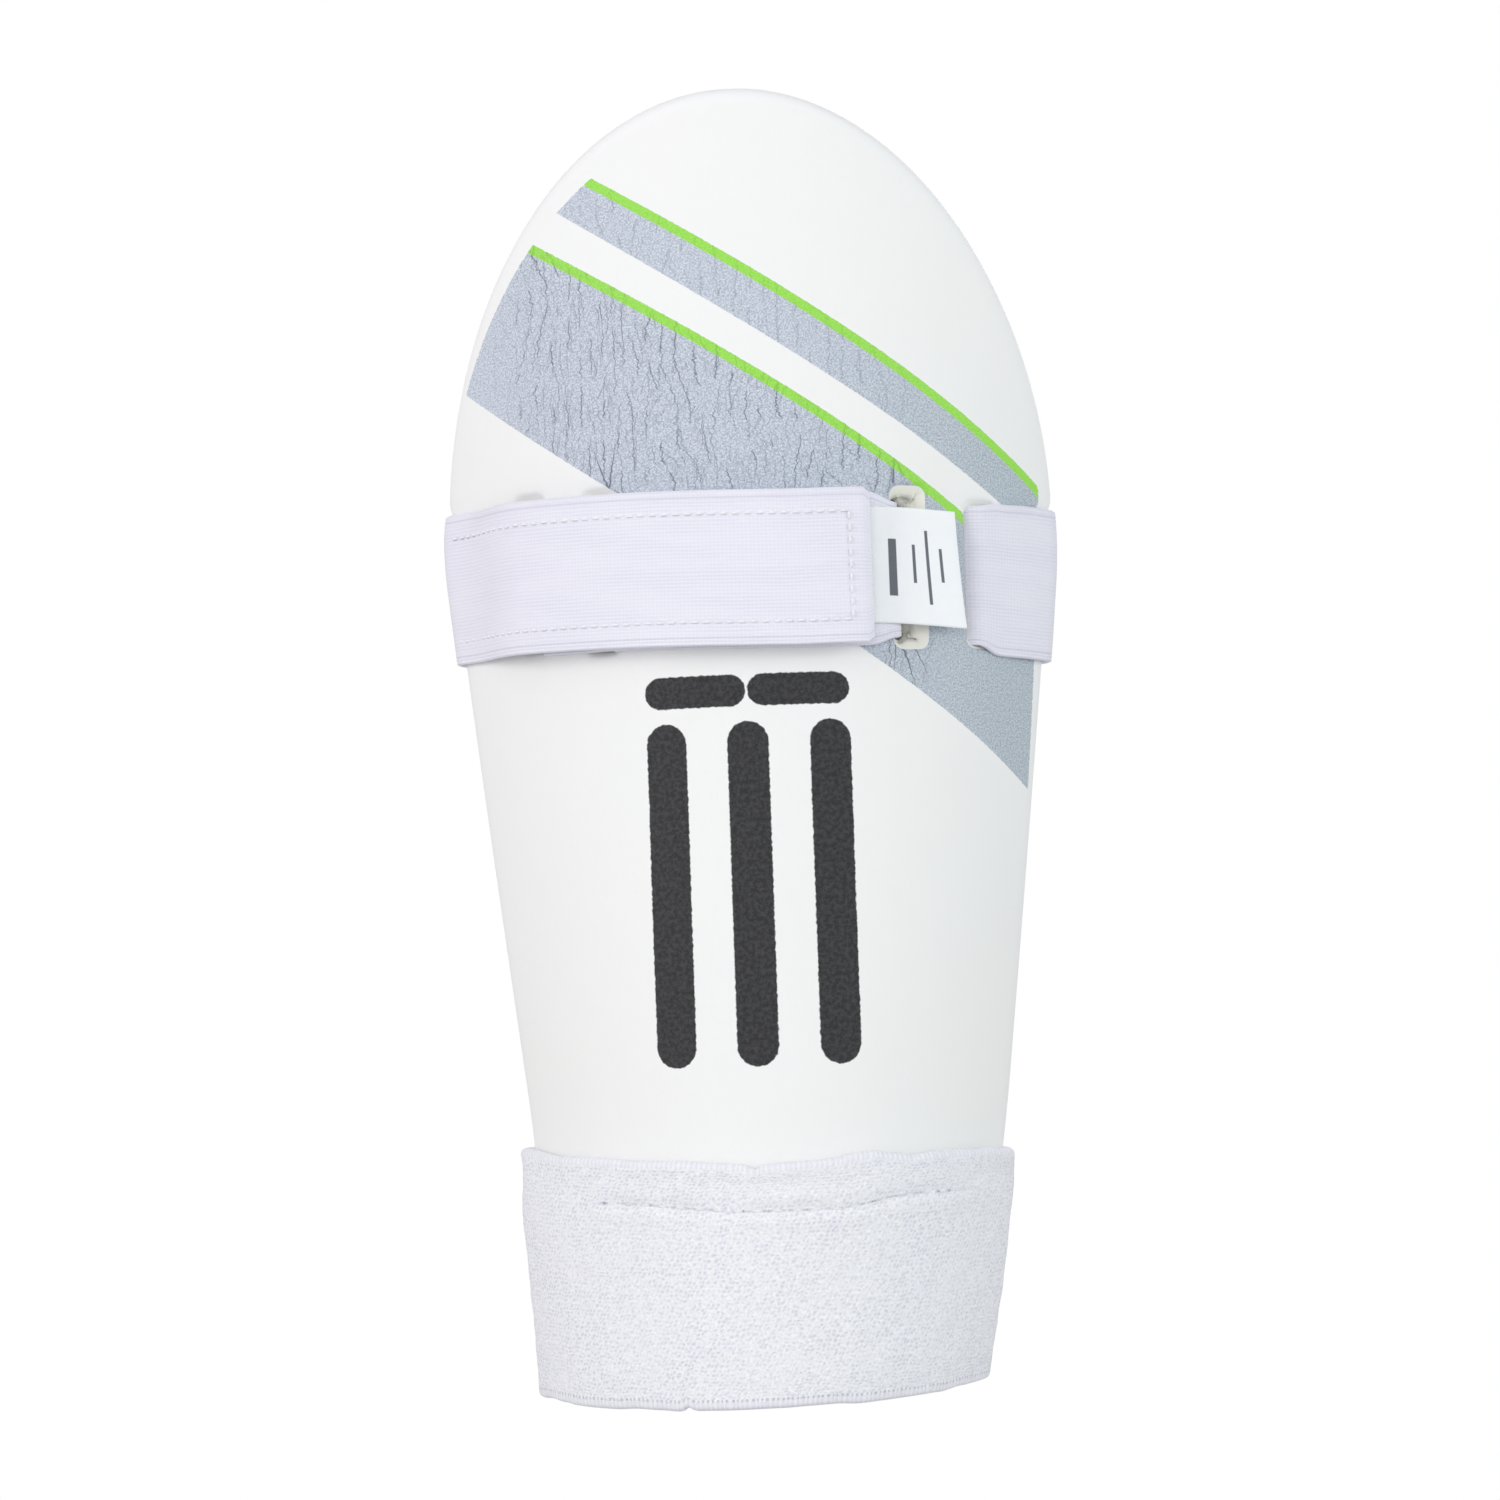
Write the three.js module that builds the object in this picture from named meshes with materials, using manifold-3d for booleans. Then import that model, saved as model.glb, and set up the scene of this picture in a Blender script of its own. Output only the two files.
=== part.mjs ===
// A cricket forearm guard. A moulded foam shell, lined with soft fabric, covers the outside of the
// forearm. An elastic strap is threaded through four slots in the shell and closes on itself with
// hook-and-loop tape, and a terry wristband is sewn round the wrist end.
//
// Millimetres. +Z runs from the wrist end to the elbow end, the outer face looks along -Y, the arm
// lies on the +Y side, and the guard stands on the wristband's lower edge at Z = 0.
//
// Most shapes are laid out on the shell's outer face, in three numbers: s is the distance round the
// arc from the centre line, n is the height above the outer face, and z is the height.

import * as THREE from "three";
import Module from "manifold-3d";
import { mergeVertices } from "three/addons/utils/BufferGeometryUtils.js";

// Shell
const LENGTH = 282; // from the table to the elbow end
const SHELL_BASE = 1.5; // the foam ends a little above the wristband's lower edge
const WIDEST_Z = 190.7;
const WIDEST_HALF = 69.3; // half of the chord at the widest height
const WRIST_HALF = 46.4; // half of the chord at the wrist end
const TAPER_POWER = 1.06; // above 1, the side runs upright where it meets the crown
const CROWN_POWER = 1.94; // 2 would make the elbow end a plain half ellipse
const CROWN_OPEN = 0.9989; // stops the crown just short of a point
const WRIST_RADIUS = 49; // radius of the arc at Z = 0
const RADIUS_GAIN = 0.208; // growth of that radius per millimetre of height
const FOAM = 9;
const RIM_OUTER = 4.3; // rounding of the rim, outer and inner
const RIM_INNER = 3.9;
const BASE_CORNER = 8;
const WRIST_SHIFT = -2.2; // how far the band draws the wrist end to one side
const SHIFT_START = 65; // the height where that sideways shift begins
const LINING = 2.5;
const LINING_INSET = 3.5;
const GAP = 0.3; // between pieces that touch
const SEAT = 0.55; // between curved cloth and the foam under it
const MIDDLE_DEPTH = 20.15; // from the front of the foam to the middle of the guard's depth

// Slots, two each side of the centre line
const SLOT_NEAR = 36.8; // centre of the inner slots, along the arc
const SLOT_FAR = 54.8;
const SLOT_LEFT_SHIFT = 5.4; // the left pair stands nearer the centre line by this much
const SLOT_WIDTH = 8.4;
const SLOT_HEIGHT = 36;
const SLOT_CORNER = 2.2;
const SLOT_RISE = 0.7; // the slots' middle over the strap's

// Strap
const STRAP_Z = 176.3;
const STRAP_SLANT = 0.033; // the strap drops by this much per millimetre towards +X
const STRAP_HUMP = 1; // the strap rides up this much where it enters the right inner slot
const STRAP_HUMP_X = 30;
const STRAP_HUMP_WIDTH = 15;
const STRAP_WIDTH = 33.2;
const STRAP_TURN = 3; // radius of the strap's bends inside a slot
const ELASTIC = 1.3;
const STRAP_BOW = 9; // how far the rear run bows away from a straight chord
const REAR_HALF = 48; // half length, in X, of the rear run that stretches
const TAB_END = 26.2; // where the tab's free end lies, along the arc
const TAB_HINGE = -64; // where the tab peels from
const TAPE = 1;
const HOOK_WIDTH = 25;
const HOOK_START = -55;
const HOOK_END = 23.4;
const LOOP_WIDTH = 30;
const LOOP_START = -11.5;
const LOOP_END = 21.2;
const RETURN_END = -13.5; // the anchored end folds back and stops here

// Label
const LABEL_START = 21.7;
const LABEL_FOLD = 27.2;
const LABEL_END = 47.5;
const LABEL_WIDTH = 25;
const LABEL_RISE = 0.6; // the label's middle over the strap's
const SATIN = 0.4;
const LABEL_LIFT = 2.2; // rise of the label's free end

// Wristband
const BAND_HEIGHT = 54;
const TERRY = 2.6;
const BAND_BOW = 5;
const BAND_BACK_HALF = 30; // half length, in X, of the part of the band that stretches
const SEAM_Z = 43.2;
const SEAM_LEFT = -37;
const SEAM_RIGHT = 46;

// Thread
const THREAD = 0.35;
const THREAD_WIDTH = 0.7;
const STITCH_OFFSET = 11.5; // the tab's stitch rows, either side of its centre
const JOIN_X = 6; // the band's ends overlap at this X, at the back

const COLOURS = {
  foam: [0.87, 0.87, 0.85, 0.62],
  lining: [0.83, 0.83, 0.82, 0.95],
  elastic: [0.82, 0.81, 0.87, 0.85],
  tape: [0.86, 0.86, 0.88, 0.95],
  satin: [0.92, 0.93, 0.94, 0.45],
  terry: [0.88, 0.88, 0.92, 0.98],
  thread: [0.93, 0.93, 0.96, 0.6],
};

const { asin, sin, cos, sqrt, max, min, hypot, PI } = Math;
const lerp = THREE.MathUtils.lerp;

// ---- The shell's shape -----------------------------------------------------------------------

const radiusAt = (z) => WRIST_RADIUS + RADIUS_GAIN * z;

function halfWidthAt(z, inset = 0) {
  if (z >= WIDEST_Z) {
    const t = (CROWN_OPEN * (z - WIDEST_Z)) / (LENGTH - inset - WIDEST_Z);
    return (WIDEST_HALF - inset) * sqrt(max(0, 1 - min(t, 1) ** CROWN_POWER));
  }
  const drop = ((WIDEST_Z - z) / WIDEST_Z) ** TAPER_POWER;
  return WIDEST_HALF - inset - (WIDEST_HALF - WRIST_HALF) * drop;
}

const halfArcAt = (z, inset = 0) =>
  radiusAt(z) * asin(halfWidthAt(z, inset) / radiusAt(z));

// The half arc with the wrist end's two corners rounded off.
function outlineAt(z, inset) {
  const rise = z - SHELL_BASE - inset;
  const full = halfArcAt(z, inset);
  if (rise >= BASE_CORNER) return full;
  return full - BASE_CORNER + sqrt(BASE_CORNER ** 2 - (BASE_CORNER - rise) ** 2);
}

const shiftAt = (z) => WRIST_SHIFT * max(0, (SHIFT_START - z) / SHIFT_START) ** 1.3;

function place(s, n, z) {
  const r = radiusAt(z);
  const turn = s / r;
  return new THREE.Vector3((r + n) * sin(turn) + shiftAt(z), r - (r + n) * cos(turn), z);
}

function strapCentre(x) {
  const hump = STRAP_HUMP * Math.exp(-(((x - STRAP_HUMP_X) / STRAP_HUMP_WIDTH) ** 2));
  return STRAP_Z - STRAP_SLANT * x + hump;
}

// ---- Meshes ----------------------------------------------------------------------------------

// A closed solid between two sheets of points, front[i][j] and back[i][j].
function slab(front, back) {
  const rows = front.length;
  const columns = front[0].length;
  const count = rows * columns;
  const position = [...front.flat(), ...back.flat()].flatMap((p) => p.toArray());
  const at = (i, j) => i * columns + j;
  const faces = [];
  const quad = (a, b, c, d) => faces.push(a, b, c, a, c, d);
  for (let i = 0; i < rows - 1; i++) {
    for (let j = 0; j < columns - 1; j++) {
      quad(at(i, j), at(i, j + 1), at(i + 1, j + 1), at(i + 1, j));
      quad(count + at(i, j), count + at(i + 1, j), count + at(i + 1, j + 1), count + at(i, j + 1));
    }
  }
  const wall = (a, b) => quad(b, a, count + a, count + b);
  for (let j = 0; j < columns - 1; j++) {
    wall(at(0, j), at(0, j + 1));
    wall(at(rows - 1, j + 1), at(rows - 1, j));
  }
  for (let i = 0; i < rows - 1; i++) {
    wall(at(i + 1, 0), at(i, 0));
    wall(at(i, columns - 1), at(i + 1, columns - 1));
  }
  const geometry = new THREE.BufferGeometry();
  geometry.setAttribute("position", new THREE.Float32BufferAttribute(position, 3));
  geometry.setIndex(faces);
  return facingOut(geometry);
}

// Turns every face round if the solid is inside out.
function facingOut(geometry) {
  const p = geometry.getAttribute("position");
  const index = geometry.getIndex();
  const corner = [new THREE.Vector3(), new THREE.Vector3(), new THREE.Vector3()];
  let volume = 0;
  for (let i = 0; i < index.count; i += 3) {
    corner.forEach((c, k) => c.fromBufferAttribute(p, index.getX(i + k)));
    volume += corner[0].dot(corner[1].clone().cross(corner[2]));
  }
  if (volume < 0) {
    for (let i = 0; i < index.count; i += 3) {
      const kept = index.getX(i);
      index.setX(i, index.getX(i + 1));
      index.setX(i + 1, kept);
    }
  }
  return geometry;
}

const wasm = await Module();
wasm.setup();

function toSolid(geometry) {
  const bare = geometry.clone();
  bare.deleteAttribute("normal");
  bare.deleteAttribute("uv");
  const merged = mergeVertices(bare, 1e-4);
  return new wasm.Manifold(
    new wasm.Mesh({
      numProp: 3,
      vertProperties: merged.getAttribute("position").array,
      triVerts: new Uint32Array(merged.getIndex().array),
    }),
  );
}

function toGeometry(solid) {
  const mesh = solid.getMesh();
  const geometry = new THREE.BufferGeometry();
  geometry.setAttribute("position", new THREE.BufferAttribute(mesh.vertProperties, 3));
  geometry.setIndex(new THREE.BufferAttribute(mesh.triVerts, 1));
  return geometry;
}

// ---- The shell and its lining ----------------------------------------------------------------

// Heights of the sheet's rows: close together where the base and the crown are rounded.
function rowHeights(inset) {
  const base = SHELL_BASE + inset;
  const crown = LENGTH - inset - WIDEST_Z;
  const foot = [0, 0.7, 2.2, 4.5, BASE_CORNER].map((rise) => base + rise);
  const sideSteps = 11;
  const side = [...Array(sideSteps)].map((_, i) =>
    lerp(base + BASE_CORNER, WIDEST_Z, (i + 1) / sideSteps),
  );
  const crownSteps = 13;
  const top = [...Array(crownSteps)].map(
    (_, i) => WIDEST_Z + crown * sin(((i + 1) / crownSteps) * (PI / 2)),
  );
  return [...foot, ...side, ...top];
}

const COLUMN_SHARES = [0, 0.16, 0.32, 0.47, 0.61, 0.74, 0.85, 0.925, 0.97, 0.99, 1];
const COLUMNS = [...COLUMN_SHARES.slice(1).reverse().map((share) => -share), ...COLUMN_SHARES];

function outlinePoints(inset) {
  const right = rowHeights(inset).map((z) => new THREE.Vector2(outlineAt(z, inset), z));
  const left = right.map((p) => new THREE.Vector2(-p.x, p.y)).reverse();
  return [...right, ...left];
}

// Distance from a point of the unrolled sheet to the sheet's outline.
function rimDistance(outline, s, z) {
  let nearest = Infinity;
  outline.forEach((a, i) => {
    const b = outline[(i + 1) % outline.length];
    const along = (s - a.x) * (b.x - a.x) + (z - a.y) * (b.y - a.y);
    const share = THREE.MathUtils.clamp(along / (a.distanceToSquared(b) || 1), 0, 1);
    nearest = min(nearest, hypot(lerp(a.x, b.x, share) - s, lerp(a.y, b.y, share) - z));
  });
  return nearest;
}

const rounding = (radius, d) =>
  d >= radius ? 0 : radius - sqrt(radius ** 2 - (radius - d) ** 2);

function mouldedSheet({ inset, top, bottom, outerRim, innerRim }) {
  const outline = outlinePoints(inset);
  const front = [];
  const back = [];
  for (const z of rowHeights(inset)) {
    const points = COLUMNS.map((share) => share * outlineAt(z, inset));
    const distances = points.map((s) => rimDistance(outline, s, z));
    front.push(points.map((s, j) => place(s, top - rounding(outerRim, distances[j]), z)));
    back.push(points.map((s, j) => place(s, bottom + rounding(innerRim, distances[j]), z)));
  }
  return slab(front, back);
}

function slotCutter(s) {
  const shape = new THREE.Shape();
  const x = SLOT_WIDTH / 2;
  const y = SLOT_HEIGHT / 2;
  const r = SLOT_CORNER;
  shape.moveTo(-x + r, -y);
  shape.lineTo(x - r, -y);
  shape.absarc(x - r, -y + r, r, -PI / 2, 0);
  shape.lineTo(x, y - r);
  shape.absarc(x - r, y - r, r, 0, PI / 2);
  shape.lineTo(-x + r, y);
  shape.absarc(-x + r, y - r, r, PI / 2, PI);
  shape.lineTo(-x, -y + r);
  shape.absarc(-x + r, -y + r, r, PI, PI * 1.5);
  const through = 2 * (FOAM + LINING + 2);
  const geometry = new THREE.ExtrudeGeometry(shape, {
    depth: through,
    bevelEnabled: false,
    curveSegments: 3,
  });
  geometry.translate(0, 0, -through / 2);
  geometry.rotateX(PI / 2);
  geometry.rotateZ(s / radiusAt(STRAP_Z));
  const centre = place(s, -(FOAM + LINING) / 2, STRAP_Z);
  geometry.translate(centre.x, centre.y, strapCentre(centre.x) + SLOT_RISE);
  return toSolid(geometry);
}

function slotted(geometry) {
  const left = [SLOT_FAR, SLOT_NEAR].map((s) => SLOT_LEFT_SHIFT - s);
  const slots = [...left, SLOT_NEAR, SLOT_FAR].map(slotCutter);
  return toGeometry(slots.reduce((solid, slot) => solid.subtract(slot), toSolid(geometry)));
}

const foamShell = () =>
  slotted(
    mouldedSheet({
      inset: 0,
      top: 0,
      bottom: -FOAM,
      outerRim: RIM_OUTER,
      innerRim: RIM_INNER,
    }),
  );

const shellLining = () =>
  slotted(
    mouldedSheet({
      inset: LINING_INSET,
      top: -FOAM - GAP,
      bottom: -FOAM - GAP - LINING,
      outerRim: 0.6,
      innerRim: 1.5,
    }),
  );

// ---- Ribbons ---------------------------------------------------------------------------------
// A ribbon is a list of stations. A station gives the ribbon's centre at any height.

const onShell = (s, n) => (z) => place(s, n, z);

// A point on the way round the shell's side edge. Angle PI / 2 is on the outer face, 0 is at the
// edge, and -PI / 2 is on the inner face.
const roundRim = (side, angle, clear) => (z) => {
  const reach = FOAM / 2 + clear;
  const s = halfArcAt(z) - FOAM / 2 + reach * cos(angle);
  return place(side * s, -FOAM / 2 + reach * sin(angle), z);
};

// A point on the bowed run behind the arm, from the +X edge at share 0 to the -X edge at share 1.
const behindArm = (share, clear, bow, leave) => (z) => {
  const point = roundRim(1, leave, clear)(z).lerp(roundRim(-1, leave, clear)(z), share);
  point.y += 4 * bow * share * (1 - share);
  return point;
};

// Stations round one corner of a slot, at a constant distance from it.
function roundCorner(s, n, clear, from, to, steps = 3) {
  return [...Array(steps + 1)].map((_, i) => {
    const angle = lerp(from, to, i / steps);
    return onShell(s + clear * cos(angle), n + clear * sin(angle));
  });
}

const spread = (from, to, steps) =>
  [...Array(steps + 1)].map((_, i) => lerp(from, to, i / steps));

function ribbon(stations, { thickness, width, centre, rows = 4 }) {
  const outer = [];
  const inner = [];
  for (const share of spread(-0.5, 0.5, rows)) {
    const line = stations.map((station) => {
      const nominal = station(STRAP_Z);
      return station(centre(nominal.x) + share * width);
    });
    const sideways = line.map((_, i) => {
      const a = line[max(i - 1, 0)];
      const b = line[min(i + 1, line.length - 1)];
      return new THREE.Vector3(b.y - a.y, a.x - b.x, 0).setLength(thickness / 2);
    });
    outer.push(line.map((p, i) => p.clone().add(sideways[i])));
    inner.push(line.map((p, i) => p.clone().sub(sideways[i])));
  }
  return slab(outer, inner);
}

const elastic = (stations) =>
  ribbon(stations, { thickness: ELASTIC, width: STRAP_WIDTH, centre: strapCentre });

const tape = (stations, width) =>
  ribbon(stations, { thickness: TAPE, width, centre: strapCentre, rows: 2 });

// Heights of the ribbons' centres over the outer face
const LAID = SEAT + ELASTIC / 2; // elastic on the shell
const TURNED = LAID + 0.2; // elastic round a corner of the foam
const DOUBLED = LAID + GAP + ELASTIC; // elastic on elastic
const LOOP_HEIGHT = SEAT + ELASTIC + GAP + TAPE / 2;
const HOOK_HEIGHT = LOOP_HEIGHT + TAPE + THREAD + 3 * GAP;
const TAB_HEIGHT = HOOK_HEIGHT + TAPE / 2 + GAP + ELASTIC / 2;
const INNER_FACE = -FOAM - GAP - LINING;

// The slots' walls, along the arc
const NEAR_WALL = SLOT_NEAR - SLOT_WIDTH / 2;
const BRIDGE_NEAR = SLOT_NEAR + SLOT_WIDTH / 2;
const BRIDGE_FAR = SLOT_FAR - SLOT_WIDTH / 2;
const FAR_WALL = SLOT_FAR + SLOT_WIDTH / 2;

const LEFT_NEAR_WALL = SLOT_LEFT_SHIFT - NEAR_WALL;
const LEFT_BRIDGE_NEAR = SLOT_LEFT_SHIFT - BRIDGE_NEAR;
const LEFT_BRIDGE_FAR = SLOT_LEFT_SHIFT - BRIDGE_FAR;

const UNDER_BRIDGE = INNER_FACE - TURNED;
const SLOT_TURN_S = NEAR_WALL + TURNED + STRAP_TURN;
const LEFT_TURN_S = SLOT_LEFT_SHIFT - SLOT_TURN_S;

// Angles at which the strap and the band leave the side edges for the run behind the arm
const STRAP_LEAVE = -0.42;
const BAND_LEAVE = -0.3;

// One length of elastic: folded back over the near end, down round the bridge on the -X side, across
// the front, down and up round the bridge on the +X side, and over the +X edge.
function frontRunStations() {
  const folded = [
    ...spread(RETURN_END, LEFT_NEAR_WALL + 1, 2).map((s) => onShell(s, DOUBLED)),
    onShell(LEFT_NEAR_WALL - 3.5, DOUBLED - 0.35),
    onShell(LEFT_BRIDGE_NEAR + 1, LAID + 0.1),
    onShell(LEFT_BRIDGE_NEAR - 3, LAID),
  ];
  const downOuterSlot = roundCorner(LEFT_BRIDGE_FAR, 0, TURNED, PI / 2, PI);
  const underLeftBridge = [
    ...roundCorner(LEFT_BRIDGE_FAR, INNER_FACE, TURNED, PI, PI * 1.5),
    ...roundCorner(LEFT_TURN_S, UNDER_BRIDGE + STRAP_TURN, STRAP_TURN, -PI / 2, 0),
  ];
  const upNearSlot = roundCorner(LEFT_NEAR_WALL, 0, TURNED, PI, PI / 2);
  const front = spread(-22, 27, 9).map((s) => onShell(s, LAID));
  const downNearSlot = roundCorner(NEAR_WALL, 0, TURNED, PI / 2, 0);
  const underRightBridge = [
    ...roundCorner(SLOT_TURN_S, UNDER_BRIDGE + STRAP_TURN, STRAP_TURN, PI, PI * 1.5),
    ...roundCorner(BRIDGE_FAR, INNER_FACE, TURNED, -PI / 2, 0),
  ];
  const upFarSlot = roundCorner(
    BRIDGE_FAR + TURNED + STRAP_TURN,
    LAID - STRAP_TURN,
    STRAP_TURN,
    PI,
    PI / 2,
  );
  return [
    ...folded,
    ...downOuterSlot,
    ...underLeftBridge,
    ...upNearSlot,
    ...front,
    ...downNearSlot,
    ...underRightBridge,
    ...upFarSlot,
    onShell(FAR_WALL + 3, LAID),
    onShell(66, LAID),
    ...spread(PI / 2, STRAP_LEAVE, 9).map((angle) => roundRim(1, angle, TURNED)),
    ...rearShares(0, REAR_HALF, 2),
  ];
}

// The share of a run behind the arm at which its X is what is asked.
function shareAtX(x, clear, leave, z) {
  const from = roundRim(1, leave, clear)(z).x;
  const to = roundRim(-1, leave, clear)(z).x;
  return (from - x) / (from - to);
}

const strapShare = (x) => shareAtX(x, TURNED, STRAP_LEAVE, STRAP_Z);

function rearShares(fromShare, toX, steps) {
  return spread(fromShare, strapShare(toX + GAP / 2), steps)
    .slice(1)
    .map((share) => behindArm(share, TURNED, STRAP_BOW, STRAP_LEAVE));
}

function rearRunStations() {
  const half = REAR_HALF - GAP / 2;
  return spread(half, -half, 14).map((x) =>
    behindArm(strapShare(x), TURNED, STRAP_BOW, STRAP_LEAVE),
  );
}

// The tab's height over the shell: it lies on the tapes, and comes down to the shell at its root.
function tabHeightAt(s) {
  const rise = THREE.MathUtils.smoothstep(s, TAB_HINGE - 5, TAB_HINGE + 17);
  return lerp(LAID, TAB_HEIGHT, rise);
}

function leftWrapStations() {
  const start = strapShare(-REAR_HALF - GAP / 2);
  return [
    ...spread(start, 1, 2).map((share) => behindArm(share, TURNED, STRAP_BOW, STRAP_LEAVE)),
    ...spread(STRAP_LEAVE, PI / 2, 9)
      .slice(1)
      .map((angle) => roundRim(-1, angle, TURNED)),
    ...spread(TAB_HINGE - 4.5, TAB_HINGE - GAP / 2, 2).map((s) => onShell(s, tabHeightAt(s))),
  ];
}

const tabStations = () =>
  spread(TAB_HINGE + GAP / 2, TAB_END, 24).map((s) => onShell(s, tabHeightAt(s)));

const hookStations = () =>
  spread(HOOK_START, HOOK_END, 18).map((s) =>
    onShell(s, tabHeightAt(s) - (TAB_HEIGHT - HOOK_HEIGHT)),
  );

const loopStations = () =>
  spread(LOOP_START, LOOP_END, 9).map((s) => onShell(s, LOOP_HEIGHT));

// ---- Label -----------------------------------------------------------------------------------

const LABEL_HEIGHT = SEAT + ELASTIC + GAP + SATIN / 2;
const labelLayout = {
  thickness: SATIN,
  width: LABEL_WIDTH,
  centre: (x) => strapCentre(x) + LABEL_RISE,
  rows: 2,
};

const labelStub = () =>
  ribbon(
    spread(LABEL_START, LABEL_FOLD - GAP / 2, 2).map((s) => onShell(s, LABEL_HEIGHT)),
    labelLayout,
  );

const labelFlap = () =>
  ribbon(
    spread(LABEL_FOLD + GAP / 2, LABEL_END, 7).map((s) => {
      const out = (s - LABEL_FOLD) / (LABEL_END - LABEL_FOLD);
      return onShell(s, LABEL_HEIGHT + LABEL_LIFT * out * out);
    }),
    labelLayout,
  );

// ---- Wristband -------------------------------------------------------------------------------

const terry = (stations) =>
  ribbon(stations, {
    thickness: TERRY,
    width: BAND_HEIGHT,
    centre: () => BAND_HEIGHT / 2,
    rows: 4,
  });

const ON_FOAM = SEAT + TERRY / 2;

const bandBehind = (x) => (z) =>
  behindArm(shareAtX(x, ON_FOAM, BAND_LEAVE, z), ON_FOAM, BAND_BOW, BAND_LEAVE)(z);

function bandFrontStations() {
  const side = (sign) => [
    bandBehind(sign * (BAND_BACK_HALF + GAP / 2)),
    bandBehind(sign * (BAND_BACK_HALF + 5)),
    ...spread(BAND_LEAVE, PI / 2, 8).map((angle) => roundRim(sign, angle, ON_FOAM)),
  ];
  const front = spread(1, -1, 14)
    .slice(1, -1)
    .map((share) => (z) => place(share * (halfArcAt(z) - FOAM / 2), ON_FOAM, z));
  return [...side(1), ...front, ...side(-1).reverse()];
}

const bandBackStations = () =>
  spread(BAND_BACK_HALF - GAP / 2, -BAND_BACK_HALF + GAP / 2, 9).map(bandBehind);

// ---- Stitching -------------------------------------------------------------------------------

// A flat run of thread through corners given as [s, z offset from the strap's centre].
function threadOnShell(corners, heightAt, centre) {
  const points = [];
  corners.slice(1).forEach(([s, h], i) => {
    const [fromS, fromH] = corners[i];
    const steps = max(1, Math.round(Math.abs(s - fromS) / 6));
    spread(0, 1, steps).forEach((share, k) => {
      if (k > 0 || i === 0) points.push([lerp(fromS, s, share), lerp(fromH, h, share)]);
    });
  });
  const lines = [-1, 1].map((side) =>
    points.map(([s, h], i) => {
      const [beforeS, beforeH] = points[max(i - 1, 0)];
      const [afterS, afterH] = points[min(i + 1, points.length - 1)];
      const before = new THREE.Vector2(s - beforeS, h - beforeH).normalize();
      const after = new THREE.Vector2(afterS - s, afterH - h).normalize();
      const along = before.add(after).normalize();
      const turn = min(1.42, 1 / max(0.7, along.dot(after)));
      const reach = (side * turn * THREAD_WIDTH) / 2;
      return [s - along.y * reach, h + along.x * reach];
    }),
  );
  const sheet = (lift) =>
    lines.map((line) =>
      line.map(([s, h]) => {
        const nominal = place(s, 0, STRAP_Z);
        return place(s, heightAt(s) + lift, centre(nominal.x) + h);
      }),
    );
  return slab(sheet(THREAD / 2), sheet(-THREAD / 2));
}

const OVER_CLOTH = GAP + THREAD / 2;

const tabStitching = () =>
  threadOnShell(
    [
      [HOOK_START, STITCH_OFFSET],
      [HOOK_END - 1, STITCH_OFFSET],
      [HOOK_END - 1, -STITCH_OFFSET],
      [HOOK_START, -STITCH_OFFSET],
    ],
    (s) => tabHeightAt(s) + ELASTIC / 2 + OVER_CLOTH,
    strapCentre,
  );

const loopStitching = () =>
  threadOnShell(
    [
      [LOOP_END - 1.2, LOOP_WIDTH / 2 - 1.2],
      [LOOP_START + 1.2, LOOP_WIDTH / 2 - 1.2],
      [LOOP_START + 1.2, 1.2 - LOOP_WIDTH / 2],
      [LOOP_END - 1.2, 1.2 - LOOP_WIDTH / 2],
    ],
    () => LOOP_HEIGHT + TAPE / 2 + OVER_CLOTH,
    strapCentre,
  );

const anchorStitching = () =>
  threadOnShell(
    [
      [RETURN_END - 1.5, 14.5],
      [RETURN_END - 1.5, -14.5],
      [RETURN_END - 6.5, -14.5],
      [RETURN_END - 6.5, 14.5],
    ],
    () => DOUBLED + ELASTIC / 2 + OVER_CLOTH,
    strapCentre,
  );

const labelStitching = () =>
  threadOnShell(
    [
      [LABEL_FOLD - 2.2, LABEL_WIDTH / 2 - 1],
      [LABEL_FOLD - 2.2, 1 - LABEL_WIDTH / 2],
    ],
    () => LABEL_HEIGHT + SATIN / 2 + OVER_CLOTH,
    labelLayout.centre,
  );

const seamStitching = () =>
  threadOnShell(
    [
      [SEAM_LEFT, 1.2],
      [-18, 0.6],
      [0, -0.8],
      [24, -0.8],
      [SEAM_RIGHT, 1.2],
    ],
    () => SEAT + TERRY + OVER_CLOTH,
    () => SEAM_Z,
  );

// The band is closed by a row of zigzag stitches up its back.
function joinStitching() {
  const zigzags = 12;
  const margin = 3;
  const swing = 2;
  const sheet = (lift) =>
    [-1, 1].map((side) =>
      spread(0, zigzags, zigzags).map((i) => {
        const z = lerp(margin, BAND_HEIGHT - margin, i / zigzags);
        const x = JOIN_X + swing * (i % 2 ? 1 : -1) + (side * THREAD_WIDTH) / 2;
        const point = bandBehind(x)(z);
        point.y += TERRY / 2 + OVER_CLOTH + lift;
        return point;
      }),
    );
  return slab(sheet(THREAD / 2), sheet(-THREAD / 2));
}

// ---- The assembly ----------------------------------------------------------------------------

function piece(name, geometry, [r, g, b, roughness]) {
  const material = new THREE.MeshStandardMaterial({ roughness, metalness: 0 });
  material.color.setRGB(r, g, b);
  const mesh = new THREE.Mesh(geometry, material);
  mesh.name = name;
  return mesh;
}

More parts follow.
